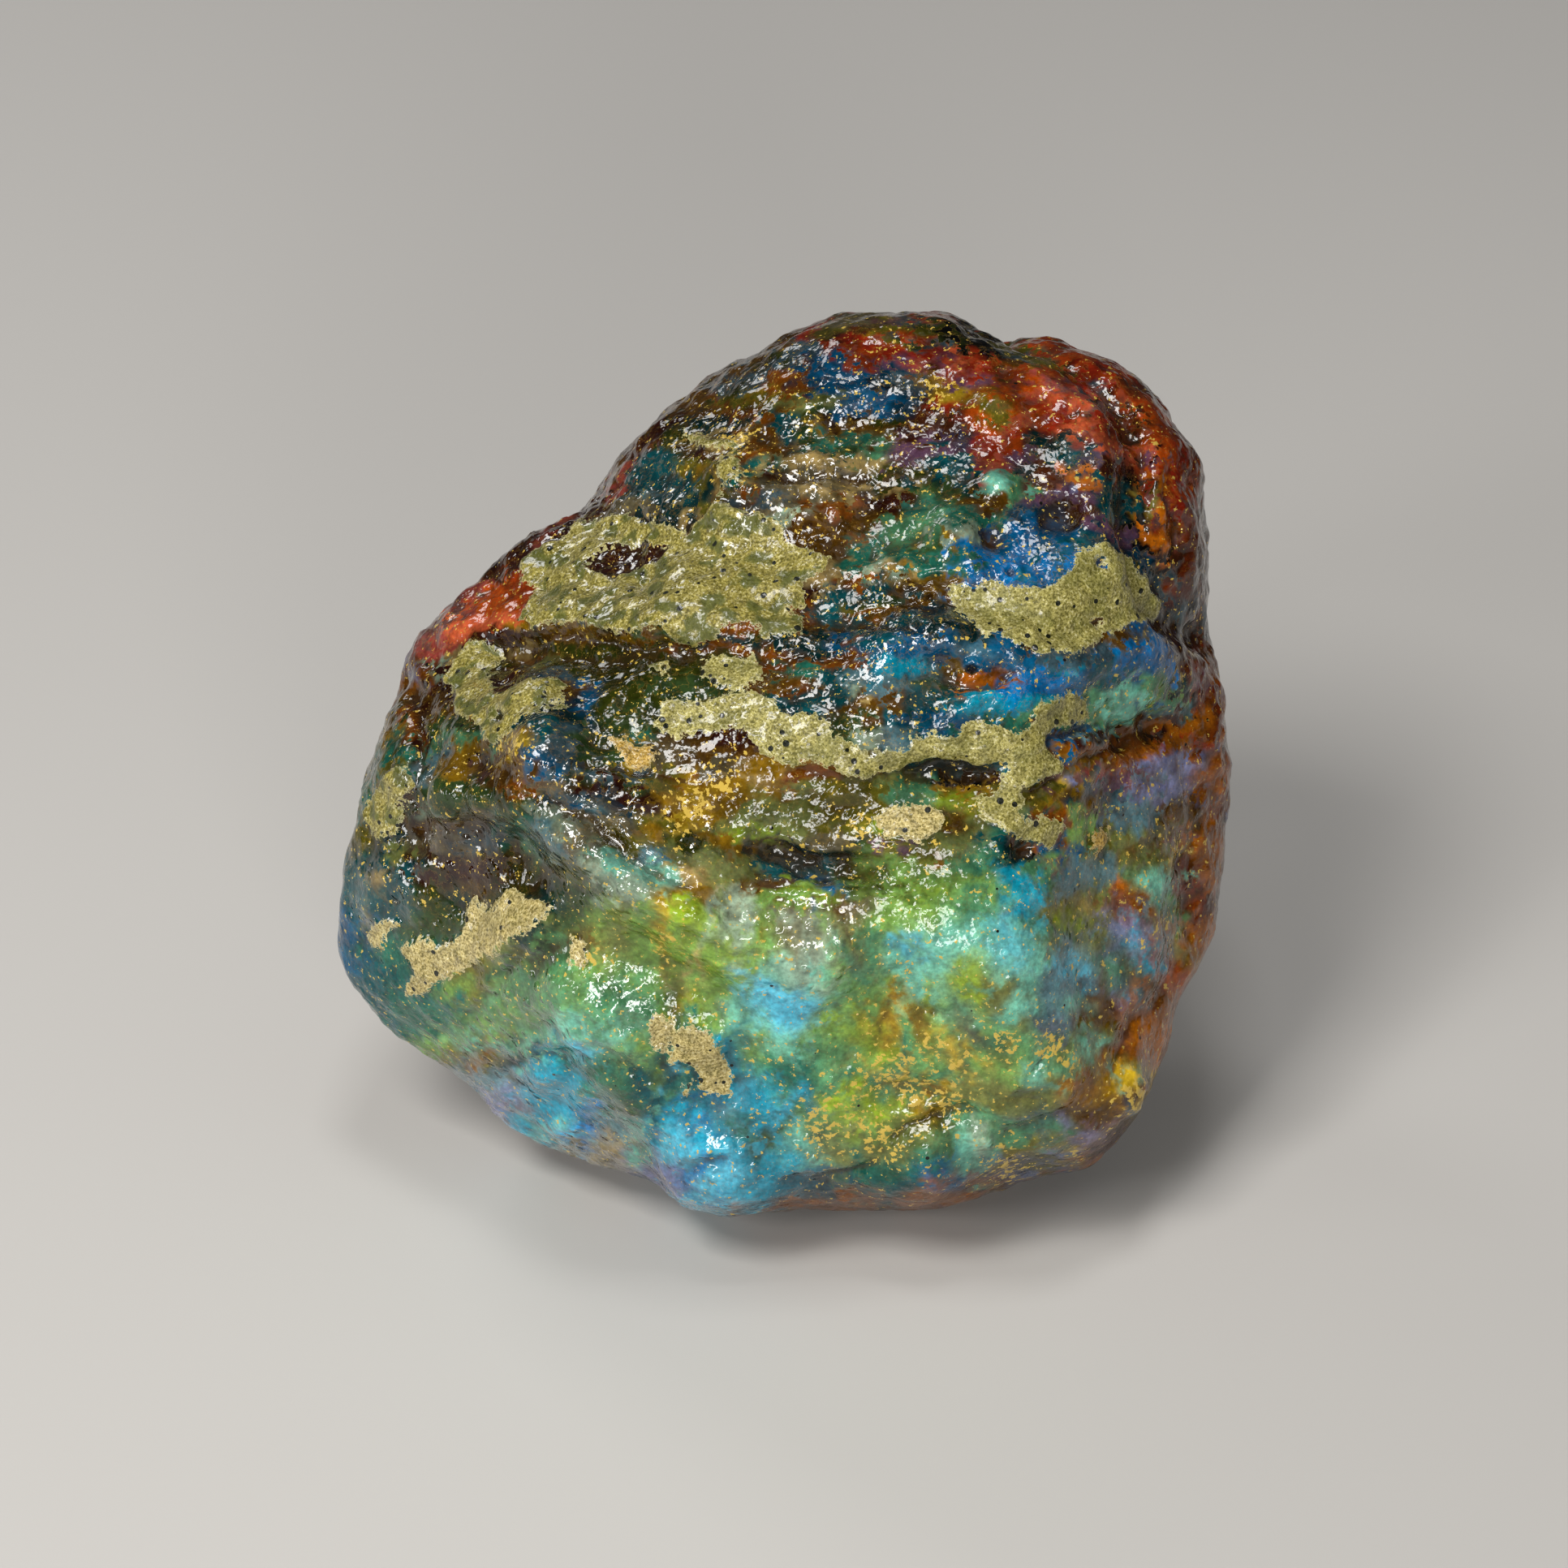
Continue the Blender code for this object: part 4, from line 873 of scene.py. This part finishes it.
def inside_outline(places, outline):
    """Pixels inside the outline, or below 0 the pixels outside it."""
    corners = np.array(outline, float)
    reach = np.full(len(places), np.inf)
    crossings = np.zeros(len(places), int)
    for start, end in zip(corners, np.roll(corners, -1, axis=0)):
        step = end - start
        t = np.clip((places - start) @ step / (step @ step), 0, 1)
        reach = np.minimum(reach, np.linalg.norm(places - start - t[:, None] * step, axis=1))
        spans = (places[:, 1] < start[1]) != (places[:, 1] < end[1])
        rise = step[1] if step[1] else 1.0
        crossings += spans & (places[:, 0] < start[0] + (places[:, 1] - start[1]) / rise * step[0])
    return np.where(crossings % 2 == 1, reach, -reach)


def line_relief(places):
    """How far the folds raise the skin, in mm."""
    raised = np.zeros(len(places))
    for line in LINES.values():
        path = smooth_path(line.places)
        reach = 4 * line.half_width * MM / PIXEL
        near = np.all((places > path.min(0) - reach) & (places < path.max(0) + reach), axis=1)
        distance, along = along_path(places[near], path)
        taper = np.sin(np.pi * np.clip(along, 0.06, 0.94)) ** 0.6
        raised[near] += line.height * taper * np.exp(-((distance * PIXEL / MM / line.half_width) ** 2))
    return raised


def spot_relief(places):
    """How far the beads, pits and craters raise the skin, in mm."""
    raised = np.zeros(len(places))
    for kind, spots in SPOTS.items():
        for u, v, radius, height in spots:
            distance = np.hypot(places[:, 0] - u, places[:, 1] - v) / radius
            if kind == "crater":
                ring = np.exp(-(((distance - 1) / 0.42) ** 2))
                raised += height * (ring - np.exp(-((distance / 0.6) ** 2)))
            else:
                raised += height * np.exp(-(distance**2)) * (1 + 0.6 * distance**2)
    return raised


def crust_depth(places):
    """Millimetres inside the nearest crust patch's edge, below 0 outside, and its colour and wear."""
    best = np.full(len(places), -50.0)
    rinds = np.zeros((len(places), 4))
    for (*colour, wear), outline in CRUSTS.values():
        inside = inside_outline(places, outline)
        closer = inside > best
        best[closer] = inside[closer]
        rinds[closer] = (*(np.array(linear(colour)) * DEEPER), wear)
    for outline in CRUST_HOLES.values():
        best = np.minimum(best, -inside_outline(places, outline))
    return best * PIXEL / MM, rinds


def tint_at(places, sharpness):
    """The resin's colour and clearness: each place takes mostly after the nearest named tint."""
    total = np.full(len(places), 1e-12)
    colour = np.zeros((len(places), 3))
    clear = np.zeros(len(places))
    for name, patches in TINTS.items():
        seen, clearness = PALETTE[name]
        weight = np.zeros(len(places))
        for u, v, long, short, *turn in patches:
            turned = math.radians(sum(turn))  # 0 where no turn is given
            c, s = math.cos(turned), math.sin(turned)
            right, down = places[:, 0] - u, places[:, 1] - v
            across = ((right * c - down * s) / long) ** 2 + ((right * s + down * c) / short) ** 2
            weight += np.exp(-np.minimum(sharpness * across, 30))
        total += weight
        colour += weight[:, None] * np.array(linear(seen))
        clear += weight * clearness
    colour = colour / total[:, None] * (1 + SHEEN) - SHEEN
    return np.maximum(colour, 0.002), clear / total


def painted_light_and_shade(places, low):
    """Painted light and shade: how much of its tint's brightness the resin is given at each place:
    painted paler down the face and at the right, and darker at the crown, the left and the bottom edge."""
    right, down = (places / 100).T
    bottom_edge = smoothstep(13.8, 14.8, down)
    middle = smoothstep(7.0, 8.5, down) * (1 - smoothstep(11.0, 12.5, down))
    left_side = (1 - smoothstep(6.5, 8.5, right)) * (1 - low) * smoothstep(7.8, 8.4, down)
    crown = (1 - smoothstep(4.6, 5.6, down)) * (1 - smoothstep(10.5, 12.0, right))
    depth = 0.76 + 0.52 * low - 0.42 * bottom_edge + 0.26 * smoothstep(11.0, 13.5, right) * middle
    return DEEPER * (depth - 0.18 * left_side - 0.14 * crown)


def gilt_share(places):
    """How thick with gold flakes the resin is at each place, from 0 to 1."""
    share = np.zeros(len(places))
    for u, v, radius in GILT:
        share = np.maximum(share, np.exp(-((np.hypot(places[:, 0] - u, places[:, 1] - v) / radius) ** 2)))
    return share


def beaded_share(places):
    """How thick with small beads the skin is at each place, from 0 to 1."""
    share = np.full(len(places), 0.25)
    for u, v, radius, strength in BEADED:
        distance = np.hypot(places[:, 0] - u, places[:, 1] - v) / radius
        share = np.maximum(share, strength * np.exp(-(distance**2)))
    return share


def small_beads(points, size):
    """Round-topped beads of about that size, from 0 between them to 1 on top."""
    nearest = np.array([noise.voronoi(p)[0][0] for p in (points / size).tolist()])
    return 1 - smoothstep(0.0, 0.62, nearest)


def flow(points, places):
    """Noise that runs across the upper stone and fans out down the lower face, and how far down
    each place lies, from 0 to 1."""
    right, down = (places / 100).T
    bend = noise_at(points, 14 * MM, 2, 5)
    level = np.stack((right * 0.5, (down + 0.12 * right) * 2.6 + bend, bend * 0), axis=1)
    across, below = ((places - FAN_CENTRE) / 100).T
    angle = np.arctan2(below, across)
    away = np.hypot(below, across)
    fan = np.stack((away * 0.45, angle * 12 + bend, bend * 0), axis=1)
    low = smoothstep(*LOWER_FACE, down)
    return noise_at(level, 1.0, 4, 1) * (1 - low) + noise_at(fan, 1.0, 4, 2) * low, low


def streaked(places, flowing, low, reach):
    """The places moved along the flow, by turns up to that many pixels."""
    away = places - FAN_CENTRE
    away /= np.linalg.norm(away, axis=1)[:, None] + 1e-9
    along = away * low[:, None] + np.array((0.98, -0.17)) * (1 - low)[:, None]
    return places + along * (flowing * reach)[:, None]


def ragged(places, rest):
    """The places shifted a few pixels by noise, so that edges drawn on them come out ragged."""
    return places + 7 * wander(rest, 1.4 * MM, 1) + 4 * wander(rest, 0.6 * MM, 2)


def carve(skin):
    """Moves the even skin's points to the finished relief."""
    broad = skin.smoothed(skin.points, 30, shrink=True)
    kept, skin.points = skin.points, broad
    facing = skin.normals() @ np.array(TO_CAMERA)
    skin.points = kept
    rest = skin.points.copy()
    places = marked_places(rest, facing)
    front = smoothstep(0.02, 0.2, facing)
    back = smoothstep(-0.3, -0.5, facing)
    shown = front + back
    shifted = ragged(places, rest)
    crust, _ = crust_depth(shifted)
    high = 1 - smoothstep(9.8, 11.2, places[:, 1] / 100)
    swells = (SWELL[0] + SWELL[1] * high) * noise_at(rest, 3.2 * MM, 3, 3)
    swells += (RIPPLE[0] + RIPPLE[1] * high) * noise_at(rest, 1.3 * MM, 2, 4)
    relief = swells + shown * (line_relief(shifted) + spot_relief(places))
    flowing, low = flow(rest, places)
    relief += FLOW * (1 - 0.45 * low) * flowing * (0.4 + 0.6 * shown)
    skin.points = rest + skin.normals() * relief[:, None] * MM
    unevenly = 0.4 * MM * noise_at(rest, 2 * MM, 1)[:, None]
    beads = beaded_share(places) * small_beads(rest + unevenly, BEAD_SPACING)
    plate = smoothstep(-0.12, 0.10, crust)
    lip = np.exp(-(((crust - 0.14) / 0.16) ** 2))
    grains = noise_at(rest, 0.55 * MM, 3, 6)
    fine = BEAD * beads * (1 - 0.1 * plate) + shown * (CRUST_PLATE * plate + CRUST_LIP * lip * plate)
    fine += CRUST_GRAIN * plate * grains
    skin.points = skin.points + skin.normals() * fine[:, None] * MM
    skin.points[:, 2] = np.maximum(skin.points[:, 2], 0.0)
    return rest, facing


def thinned(mesh):
    """The mesh with no more triangles than a piece may have."""
    body = bpy.data.objects.new("nugget_fine", mesh)
    bpy.context.scene.collection.objects.link(body)
    mesh.calc_loop_triangles()
    fewer = body.modifiers.new("fewer", "DECIMATE")
    fewer.ratio = min(1.0, MOST_TRIANGLES / len(mesh.loop_triangles))
    return applied(body)


def store(mesh, name, values):
    """Keeps one number, vector or colour for each point, for the material to read."""
    kinds = {1: ("FLOAT", "value"), 3: ("FLOAT_VECTOR", "vector"), 4: ("FLOAT_COLOR", "color")}
    values = np.asarray(values, np.float32).reshape(len(mesh.vertices), -1)
    kind, field = kinds[values.shape[1]]
    layer = mesh.attributes.get(name) or mesh.attributes.new(name, kind, "POINT")
    layer.data.foreach_set(field, values.ravel())


def with_alpha(colours):
    return np.hstack((colours, np.ones((len(colours), 1))))


def paint(mesh):
    """Stores the colours with their painted light, shade and glow, and the crust, hollows and clearness
    on the finished skin.
    """
    skin = Skin(mesh)
    rest = read(mesh.attributes["rest"].data, "vector", 3)
    facing = read(mesh.attributes["facing"].data, "value", 1)[:, 0]
    places = marked_places(rest, facing)
    flowing, low = flow(rest, places)
    drawn = streaked(places, flowing, low, between(*STREAK, low))
    sharpness = 3.2 - 1.8 * low
    tint, clear = tint_at(drawn + 12 * wander(rest, 3.4 * MM, 7) + 9 * wander(rest, 1.0 * MM, 8), sharpness)
    drawn = streaked(places, flowing, low, between(*MOTTLE_STREAK, low))
    mottle, _ = tint_at(drawn + 26 * wander(rest, 2.6 * MM, 9) + 16 * wander(rest, 0.9 * MM, 10), sharpness)
    frayed = 0.10 * noise_at(rest, 3 * MM, 4, 11)
    edge = smoothstep(0.10, 0.28, 0.25 - np.abs(facing - RIM_FACING) + frayed)
    # Painted light and shade: the tints are made paler down the face and at the right, and darker at the
    # crown, the left and the bottom edge
    depth = painted_light_and_shade(places, low)[:, None]
    tint, mottle = tint * depth, mottle * depth
    # The rim band; on the right its amber and orange are partly a painted glow of light through the thin
    # edge
    rim = DEEPER * rim_colours(rest)
    tint = tint * (1 - edge[:, None]) + rim * edge[:, None]
    mottle = mottle * (1 - 0.5 * edge[:, None]) + rim * 0.5 * edge[:, None]
    right = smoothstep(-8 * MM, 8 * MM, rest[:, 0])
    clear = clear * (1 - edge) + 0.2 * edge * right
    crust, rind = crust_depth(ragged(places, rest))
    crust = crust - 4 * edge
    # How deep each point lies in a hollow, which the material darkens as painted shade
    inward = skin.smoothed(skin.points, 14, shrink=True) - skin.points
    hollow = np.einsum("ij,ij->i", inward, skin.normals())
    store(mesh, "tint", with_alpha(tint))
    store(mesh, "mottle", with_alpha(mottle))
    store(mesh, "rind", rind)
    store(mesh, "crust", crust)
    store(mesh, "hollow", hollow / MM)
    store(mesh, "clear", clear)
    soft = [noise_at(rest, size * MM, 3, 20 + size) for size in (1.9, 1.3, 1.1)]
    store(mesh, "soft", np.stack(soft, axis=1))
    store(mesh, "crisp", 1 - 0.40 * low)
    # Painted light and shade along the flow folds down the lower face: paler on their crests, darker in
    # their troughs
    store(mesh, "flow_light_and_shade", 1 + 0.30 * low * flowing)
    store(mesh, "gilt", gilt_share(places))
    store(mesh, "beaded", beaded_share(places) * (1 - edge))
    for spent in ("rest", "facing"):
        mesh.attributes.remove(mesh.attributes[spent])


def rim_colours(rest):
    """The band round the stone's sides: teal and olive on the left, clear amber on the right, its amber
    and orange partly a painted glow of light through the thin edge.
    """
    right = smoothstep(-8 * MM, 8 * MM, rest[:, 0])
    turns = 3 * smoothstep(-0.6, 0.6, noise_at(rest, 6 * MM, 5, 12)) + 3 * right
    order = ("teal", "lagoon", "olive", "umber", "amber", "rust", "amber", "orange")
    colours = np.array([linear(PALETTE[name][0]) for name in order])
    low = turns.astype(int)
    share = smoothstep(0.35, 0.65, turns - low)[:, None]
    return colours[low] * (1 - share) + colours[low + 1] * share


class Nodes:
    """Adds nodes to a material's tree and links them."""

    def __init__(self, material):
        material.use_nodes = True
        self.tree = material.node_tree
        self.place = self.add("ShaderNodeTexCoord").outputs["Object"]

    def add(self, kind, inputs=None, **settings):
        node = self.tree.nodes.new(kind)
        for name, value in settings.items():
            setattr(node, name, value)
        for name, value in (inputs or {}).items():
            if isinstance(value, bpy.types.NodeSocket):
                self.tree.links.new(value, node.inputs[name])
            else:
                node.inputs[name].default_value = value
        return node

    def stored(self, name, output="Fac"):
        return self.add("ShaderNodeAttribute", attribute_name=name).outputs[output]

    def maths(self, operation, a, b):
        return self.add("ShaderNodeMath", {0: a, 1: b}, operation=operation).outputs[0]

    def step(self, value, low, high, to_low=0.0, to_high=1.0):
        """to_low below low, to_high above high, and an easy curve between them."""
        inputs = {"Value": value, "From Min": low, "From Max": high, "To Min": to_low, "To Max": to_high}
        return self.add("ShaderNodeMapRange", inputs, interpolation_type="SMOOTHSTEP").outputs["Result"]

    def mix(self, factor, a, b, blend="MIX"):
        sockets = {0: factor, 6: a, 7: b}
        return self.add("ShaderNodeMix", sockets, data_type="RGBA", blend_type=blend).outputs[2]

    def mix_number(self, factor, a, b):
        return self.add("ShaderNodeMix", {0: factor, 2: a, 3: b}).outputs[0]

    def noise(self, size_mm, detail=4.0, roughness=0.55):
        inputs = {"Vector": self.place, "Scale": 1 / (size_mm * MM)}
        inputs |= {"Detail": detail, "Roughness": roughness}
        return self.add("ShaderNodeTexNoise", inputs).outputs["Fac"]

    def specks(self, spacing_mm, share, radius, shift):
        """1 in small round specks, on that share of the cells of a loose grid, and 0 elsewhere."""
        moved = self.add("ShaderNodeVectorMath", {0: self.place, 1: (shift, shift, shift)}).outputs[0]
        cells = self.add("ShaderNodeTexVoronoi", {"Vector": moved, "Scale": 1 / (spacing_mm * MM)})
        apart = self.add("ShaderNodeSeparateColor", {0: cells.outputs["Color"]})
        chosen = self.maths("GREATER_THAN", apart.outputs[0], 1 - share)
        size = self.mix_number(apart.outputs[1], radius * 0.5, radius * 1.3)
        near = self.maths("LESS_THAN", cells.outputs["Distance"], size)
        return self.maths("MULTIPLY", chosen, near)


def rgba(colour):
    return (*linear(colour), 1.0)


def amber_material():
    """Wet resin in the stored colours, with crust, hollows and specks."""
    material = bpy.data.materials.new("blue_amber")
    nodes = Nodes(material)
    shader = nodes.tree.nodes["Principled BSDF"]
    link = nodes.tree.links.new

    # Resin: two stored colours in crisp-edged patches with a gilt line between, then cloudy
    # light and dark
    patches = nodes.noise(0.9, 4.0, 0.62)
    crisp = nodes.stored("crisp")
    spread = nodes.maths("MULTIPLY", nodes.maths("SUBTRACT", 1.0, crisp), 0.16)
    start = nodes.maths("SUBTRACT", 0.485, spread)
    shared = nodes.maths("MULTIPLY", nodes.step(patches, start, nodes.maths("ADD", spread, 0.525)), crisp)
    resin = nodes.mix(shared, nodes.stored("tint", "Color"), nodes.stored("mottle", "Color"))
    rising, falling = nodes.step(patches, 0.475, 0.490), nodes.step(patches, 0.520, 0.505, 0.0, 0.25)
    rimmed = nodes.maths("MULTIPLY", rising, falling)
    resin = nodes.mix(nodes.maths("MULTIPLY", rimmed, crisp), resin, rgba(GILT_LINE))
    ripple = nodes.noise(0.8, 2.0, 0.5)
    # Painted light and shade on the fine relief: darker in the ripples' low places and paler on their
    # crests, from the same noise as the ripple bump
    resin = nodes.mix(1.0, resin, nodes.step(ripple, 0.36, 0.62, 0.84, 1.12), "MULTIPLY")
    soft = nodes.add("ShaderNodeSeparateXYZ", {0: nodes.stored("soft", "Vector")}).outputs
    cloud = nodes.step(soft[0], -0.45, 0.45, 0.70, 1.28)
    resin = nodes.mix(crisp, resin, nodes.mix(1.0, resin, cloud, "MULTIPLY"))
    freckle = nodes.step(nodes.noise(0.28, 2.0, 0.6), 0.30, 0.70, 0.80, 1.18)
    resin = nodes.mix(1.0, resin, freckle, "MULTIPLY")
    # Painted shade in the hollows and creases
    hollow = nodes.stored("hollow")
    resin = nodes.mix(nodes.step(hollow, 0.03, 0.17, 0.0, 0.60), resin, rgba(PAINTED_HOLLOW_SHADE))
    # Painted light on convex crests, and painted light and shade along the flow folds
    painted_relief_shading = nodes.maths("MULTIPLY", nodes.step(hollow, -0.03, -0.16, 1.0, 1.22), nodes.stored("flow_light_and_shade"))
    resin = nodes.mix(1.0, resin, painted_relief_shading, "MULTIPLY")
    black = nodes.specks(1.4, 0.36, 0.080, 0.3)
    resin = nodes.mix(black, resin, rgba(BLACK_SPECK))
    # Bright dots, partly gold flecks and partly painted glints
    gold = nodes.specks(0.8, 0.30, 0.070, 0.7)
    resin = nodes.mix(gold, resin, rgba(GOLD_SPECK_AND_GLINT))
    gilt = nodes.maths("MULTIPLY", nodes.stored("gilt"), 0.14)
    flakes = nodes.maths("ADD", nodes.noise(0.40, 3.0, 0.6), gilt)
    resin = nodes.mix(nodes.step(flakes, 0.635, 0.665, 0.0, 0.9), resin, rgba(GOLD_FLAKE))

    # Crust: granular and paler at its ragged edge, with dark holes
    edge = nodes.step(nodes.noise(0.42, 4.0, 0.7), 0.28, 0.72, -0.27, 0.27)
    depth = nodes.maths("ADD", nodes.stored("crust"), edge)
    crusted = nodes.step(depth, -0.015, 0.015)
    grain = nodes.noise(0.17, 2.0, 0.7)
    dark_rind = nodes.mix(1.0, nodes.stored("rind", "Color"), rgba(DARK_GRAIN), "MULTIPLY")
    pale_rind = nodes.mix(0.55, nodes.stored("rind", "Color"), rgba(PALE_GRAIN_AND_GLINT))
    rind = nodes.mix(nodes.step(grain, 0.36, 0.56), dark_rind, nodes.stored("rind", "Color"))
    # Pale grains, partly paler grain and partly painted wet glints
    rind = nodes.mix(nodes.step(grain, 0.57, 0.70), rind, pale_rind)
    worn = nodes.maths("MULTIPLY", nodes.step(soft[1], -0.05, 0.28), nodes.stored("rind", "Alpha"))
    rind = nodes.mix(worn, rind, rgba(WORN))
    rind = nodes.mix(1.0, rind, nodes.step(nodes.noise(0.6, 2.0), 0.3, 0.7, 0.74, 1.12), "MULTIPLY")
    rind = nodes.mix(nodes.step(depth, 0.16, 0.02, 0.0, 0.55), rind, pale_rind)
    holes = nodes.specks(0.75, 0.50, 0.24, 1.1)
    rind = nodes.mix(holes, rind, rgba(CRUST_PORE))
    link(nodes.mix(crusted, resin, rind), shader.inputs["Base Color"])

    # Gloss
    matt = nodes.step(soft[2], -0.25, 0.25, 0.16, 0.42)
    link(nodes.mix_number(crusted, 0.12, matt), shader.inputs["Roughness"])
    clear = nodes.maths("MULTIPLY", nodes.stored("clear"), nodes.maths("SUBTRACT", 1.0, crusted))
    link(clear, shader.inputs["Transmission Weight"])
    shader.inputs["IOR"].default_value = 1.54
    shader.inputs["Specular IOR Level"].default_value = 0.14
    beaded = nodes.stored("beaded")
    link(nodes.step(beaded, 0.2, 0.8, 0.32, 1.0), shader.inputs["Coat Weight"])
    shader.inputs["Coat Roughness"].default_value = 0.12
    shader.inputs["Coat IOR"].default_value = 1.5

    # Fine relief below the mesh's own
    domes = nodes.add("ShaderNodeTexVoronoi", {"Vector": nodes.place, "Scale": 1 / (1.05 * MM)})
    dome = nodes.step(domes.outputs["Distance"], 0.42, 0.05)
    dome = nodes.maths("MULTIPLY", dome, nodes.step(beaded, 0.2, 0.9, 0.7, 1.5))
    peel = nodes.maths("ADD", ripple, dome)
    skin_bump = nodes.add("ShaderNodeBump", {"Height": peel, "Distance": SKIN_BUMP, "Strength": 1.0})
    wet_normal = skin_bump.outputs["Normal"]
    crust_bump = {"Height": grain, "Distance": CRUST_BUMP, "Normal": wet_normal, "Strength": crusted}
    link(nodes.add("ShaderNodeBump", crust_bump).outputs["Normal"], shader.inputs["Normal"])
    link(wet_normal, shader.inputs["Coat Normal"])

    # Amber light inside
    absorbing = nodes.add("ShaderNodeVolumeAbsorption", {"Color": ABSORBED, "Density": ABSORPTION})
    output = nodes.tree.nodes["Material Output"]
    link(absorbing.outputs["Volume"], output.inputs["Volume"])
    return material


def make_nugget():
    mesh = even_mesh()
    skin = Skin(mesh)
    skin.points = skin.smoothed(skin.points, SMOOTHINGS)
    rest, facing = carve(skin)
    mesh.vertices.foreach_set("co", skin.points.astype(np.float32).ravel())
    store(mesh, "rest", rest)
    store(mesh, "facing", facing)
    mesh = thinned(mesh)
    mesh.name = "nugget_skin"
    paint(mesh)
    mesh.materials.clear()
    mesh.materials.append(amber_material())
    mesh.shade_smooth()
    nugget = bpy.data.objects.new("nugget_skin", mesh)
    bpy.context.scene.collection.objects.link(nugget)
    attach(nugget, "root")
    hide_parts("nugget")


def plain_material(name, colour, roughness):
    material = bpy.data.materials.new(name)
    material.use_nodes = True
    shader = material.node_tree.nodes["Principled BSDF"]
    shader.inputs["Base Color"].default_value = rgba(colour)
    shader.inputs["Roughness"].default_value = roughness
    return material


def make_floor():
    mesh = bpy.data.meshes.new("floor")
    half = 2.0
    corners = [(-half, -half, 0), (half, -half, 0), (half, half, 0), (-half, half, 0)]
    mesh.from_pydata(corners, [], [(0, 1, 2, 3)])
    mesh.materials.append(plain_material("floor", FLOOR, 0.85))
    floor = bpy.data.objects.new("floor", mesh)
    floor.location.z = -0.02 * MM
    bpy.context.scene.collection.objects.link(floor)


def soft_light(name, place, size, watts, colour):
    """A square soft light at that place, facing the stone."""
    light = bpy.data.lights.new(name, "AREA")
    light.energy = watts
    light.size = size
    light.color = colour
    lamp = bpy.data.objects.new(name, light)
    lamp.location = place
    lamp.rotation_mode = "QUATERNION"
    lamp.rotation_quaternion = (AIM - Vector(place)).to_track_quat("-Z", "Y")
    bpy.context.scene.collection.objects.link(lamp)


def make_lights():
    for name, light in LIGHTS.items():
        soft_light(name, *light)
    world = bpy.data.worlds.new("studio")
    world.use_nodes = True
    background = world.node_tree.nodes["Background"]
    background.inputs["Color"].default_value = WORLD_LIGHT
    background.inputs["Strength"].default_value = WORLD_STRENGTH
    bpy.context.scene.world = world


def make_camera():
    camera = bpy.data.cameras.new("camera")
    camera.lens = LENS
    camera.sensor_width = SENSOR
    camera.clip_start = 0.01
    camera.clip_end = 10.0
    holder = bpy.data.objects.new("camera", camera)
    holder.location = AIM + TO_CAMERA * DISTANCE
    holder.rotation_mode = "QUATERNION"
    holder.rotation_quaternion = (-TO_CAMERA).to_track_quat("-Z", "Y")
    bpy.context.scene.collection.objects.link(holder)
    bpy.context.scene.camera = holder


def set_look():
    scene = bpy.context.scene
    scene.view_settings.view_transform = "Standard"
    scene.cycles.use_denoising = True
    scene.cycles.max_bounces = 7
    scene.cycles.diffuse_bounces = 2
    scene.cycles.glossy_bounces = 2
    scene.cycles.transmission_bounces = 5


make_nugget()
make_floor()
make_lights()
make_camera()
set_look()
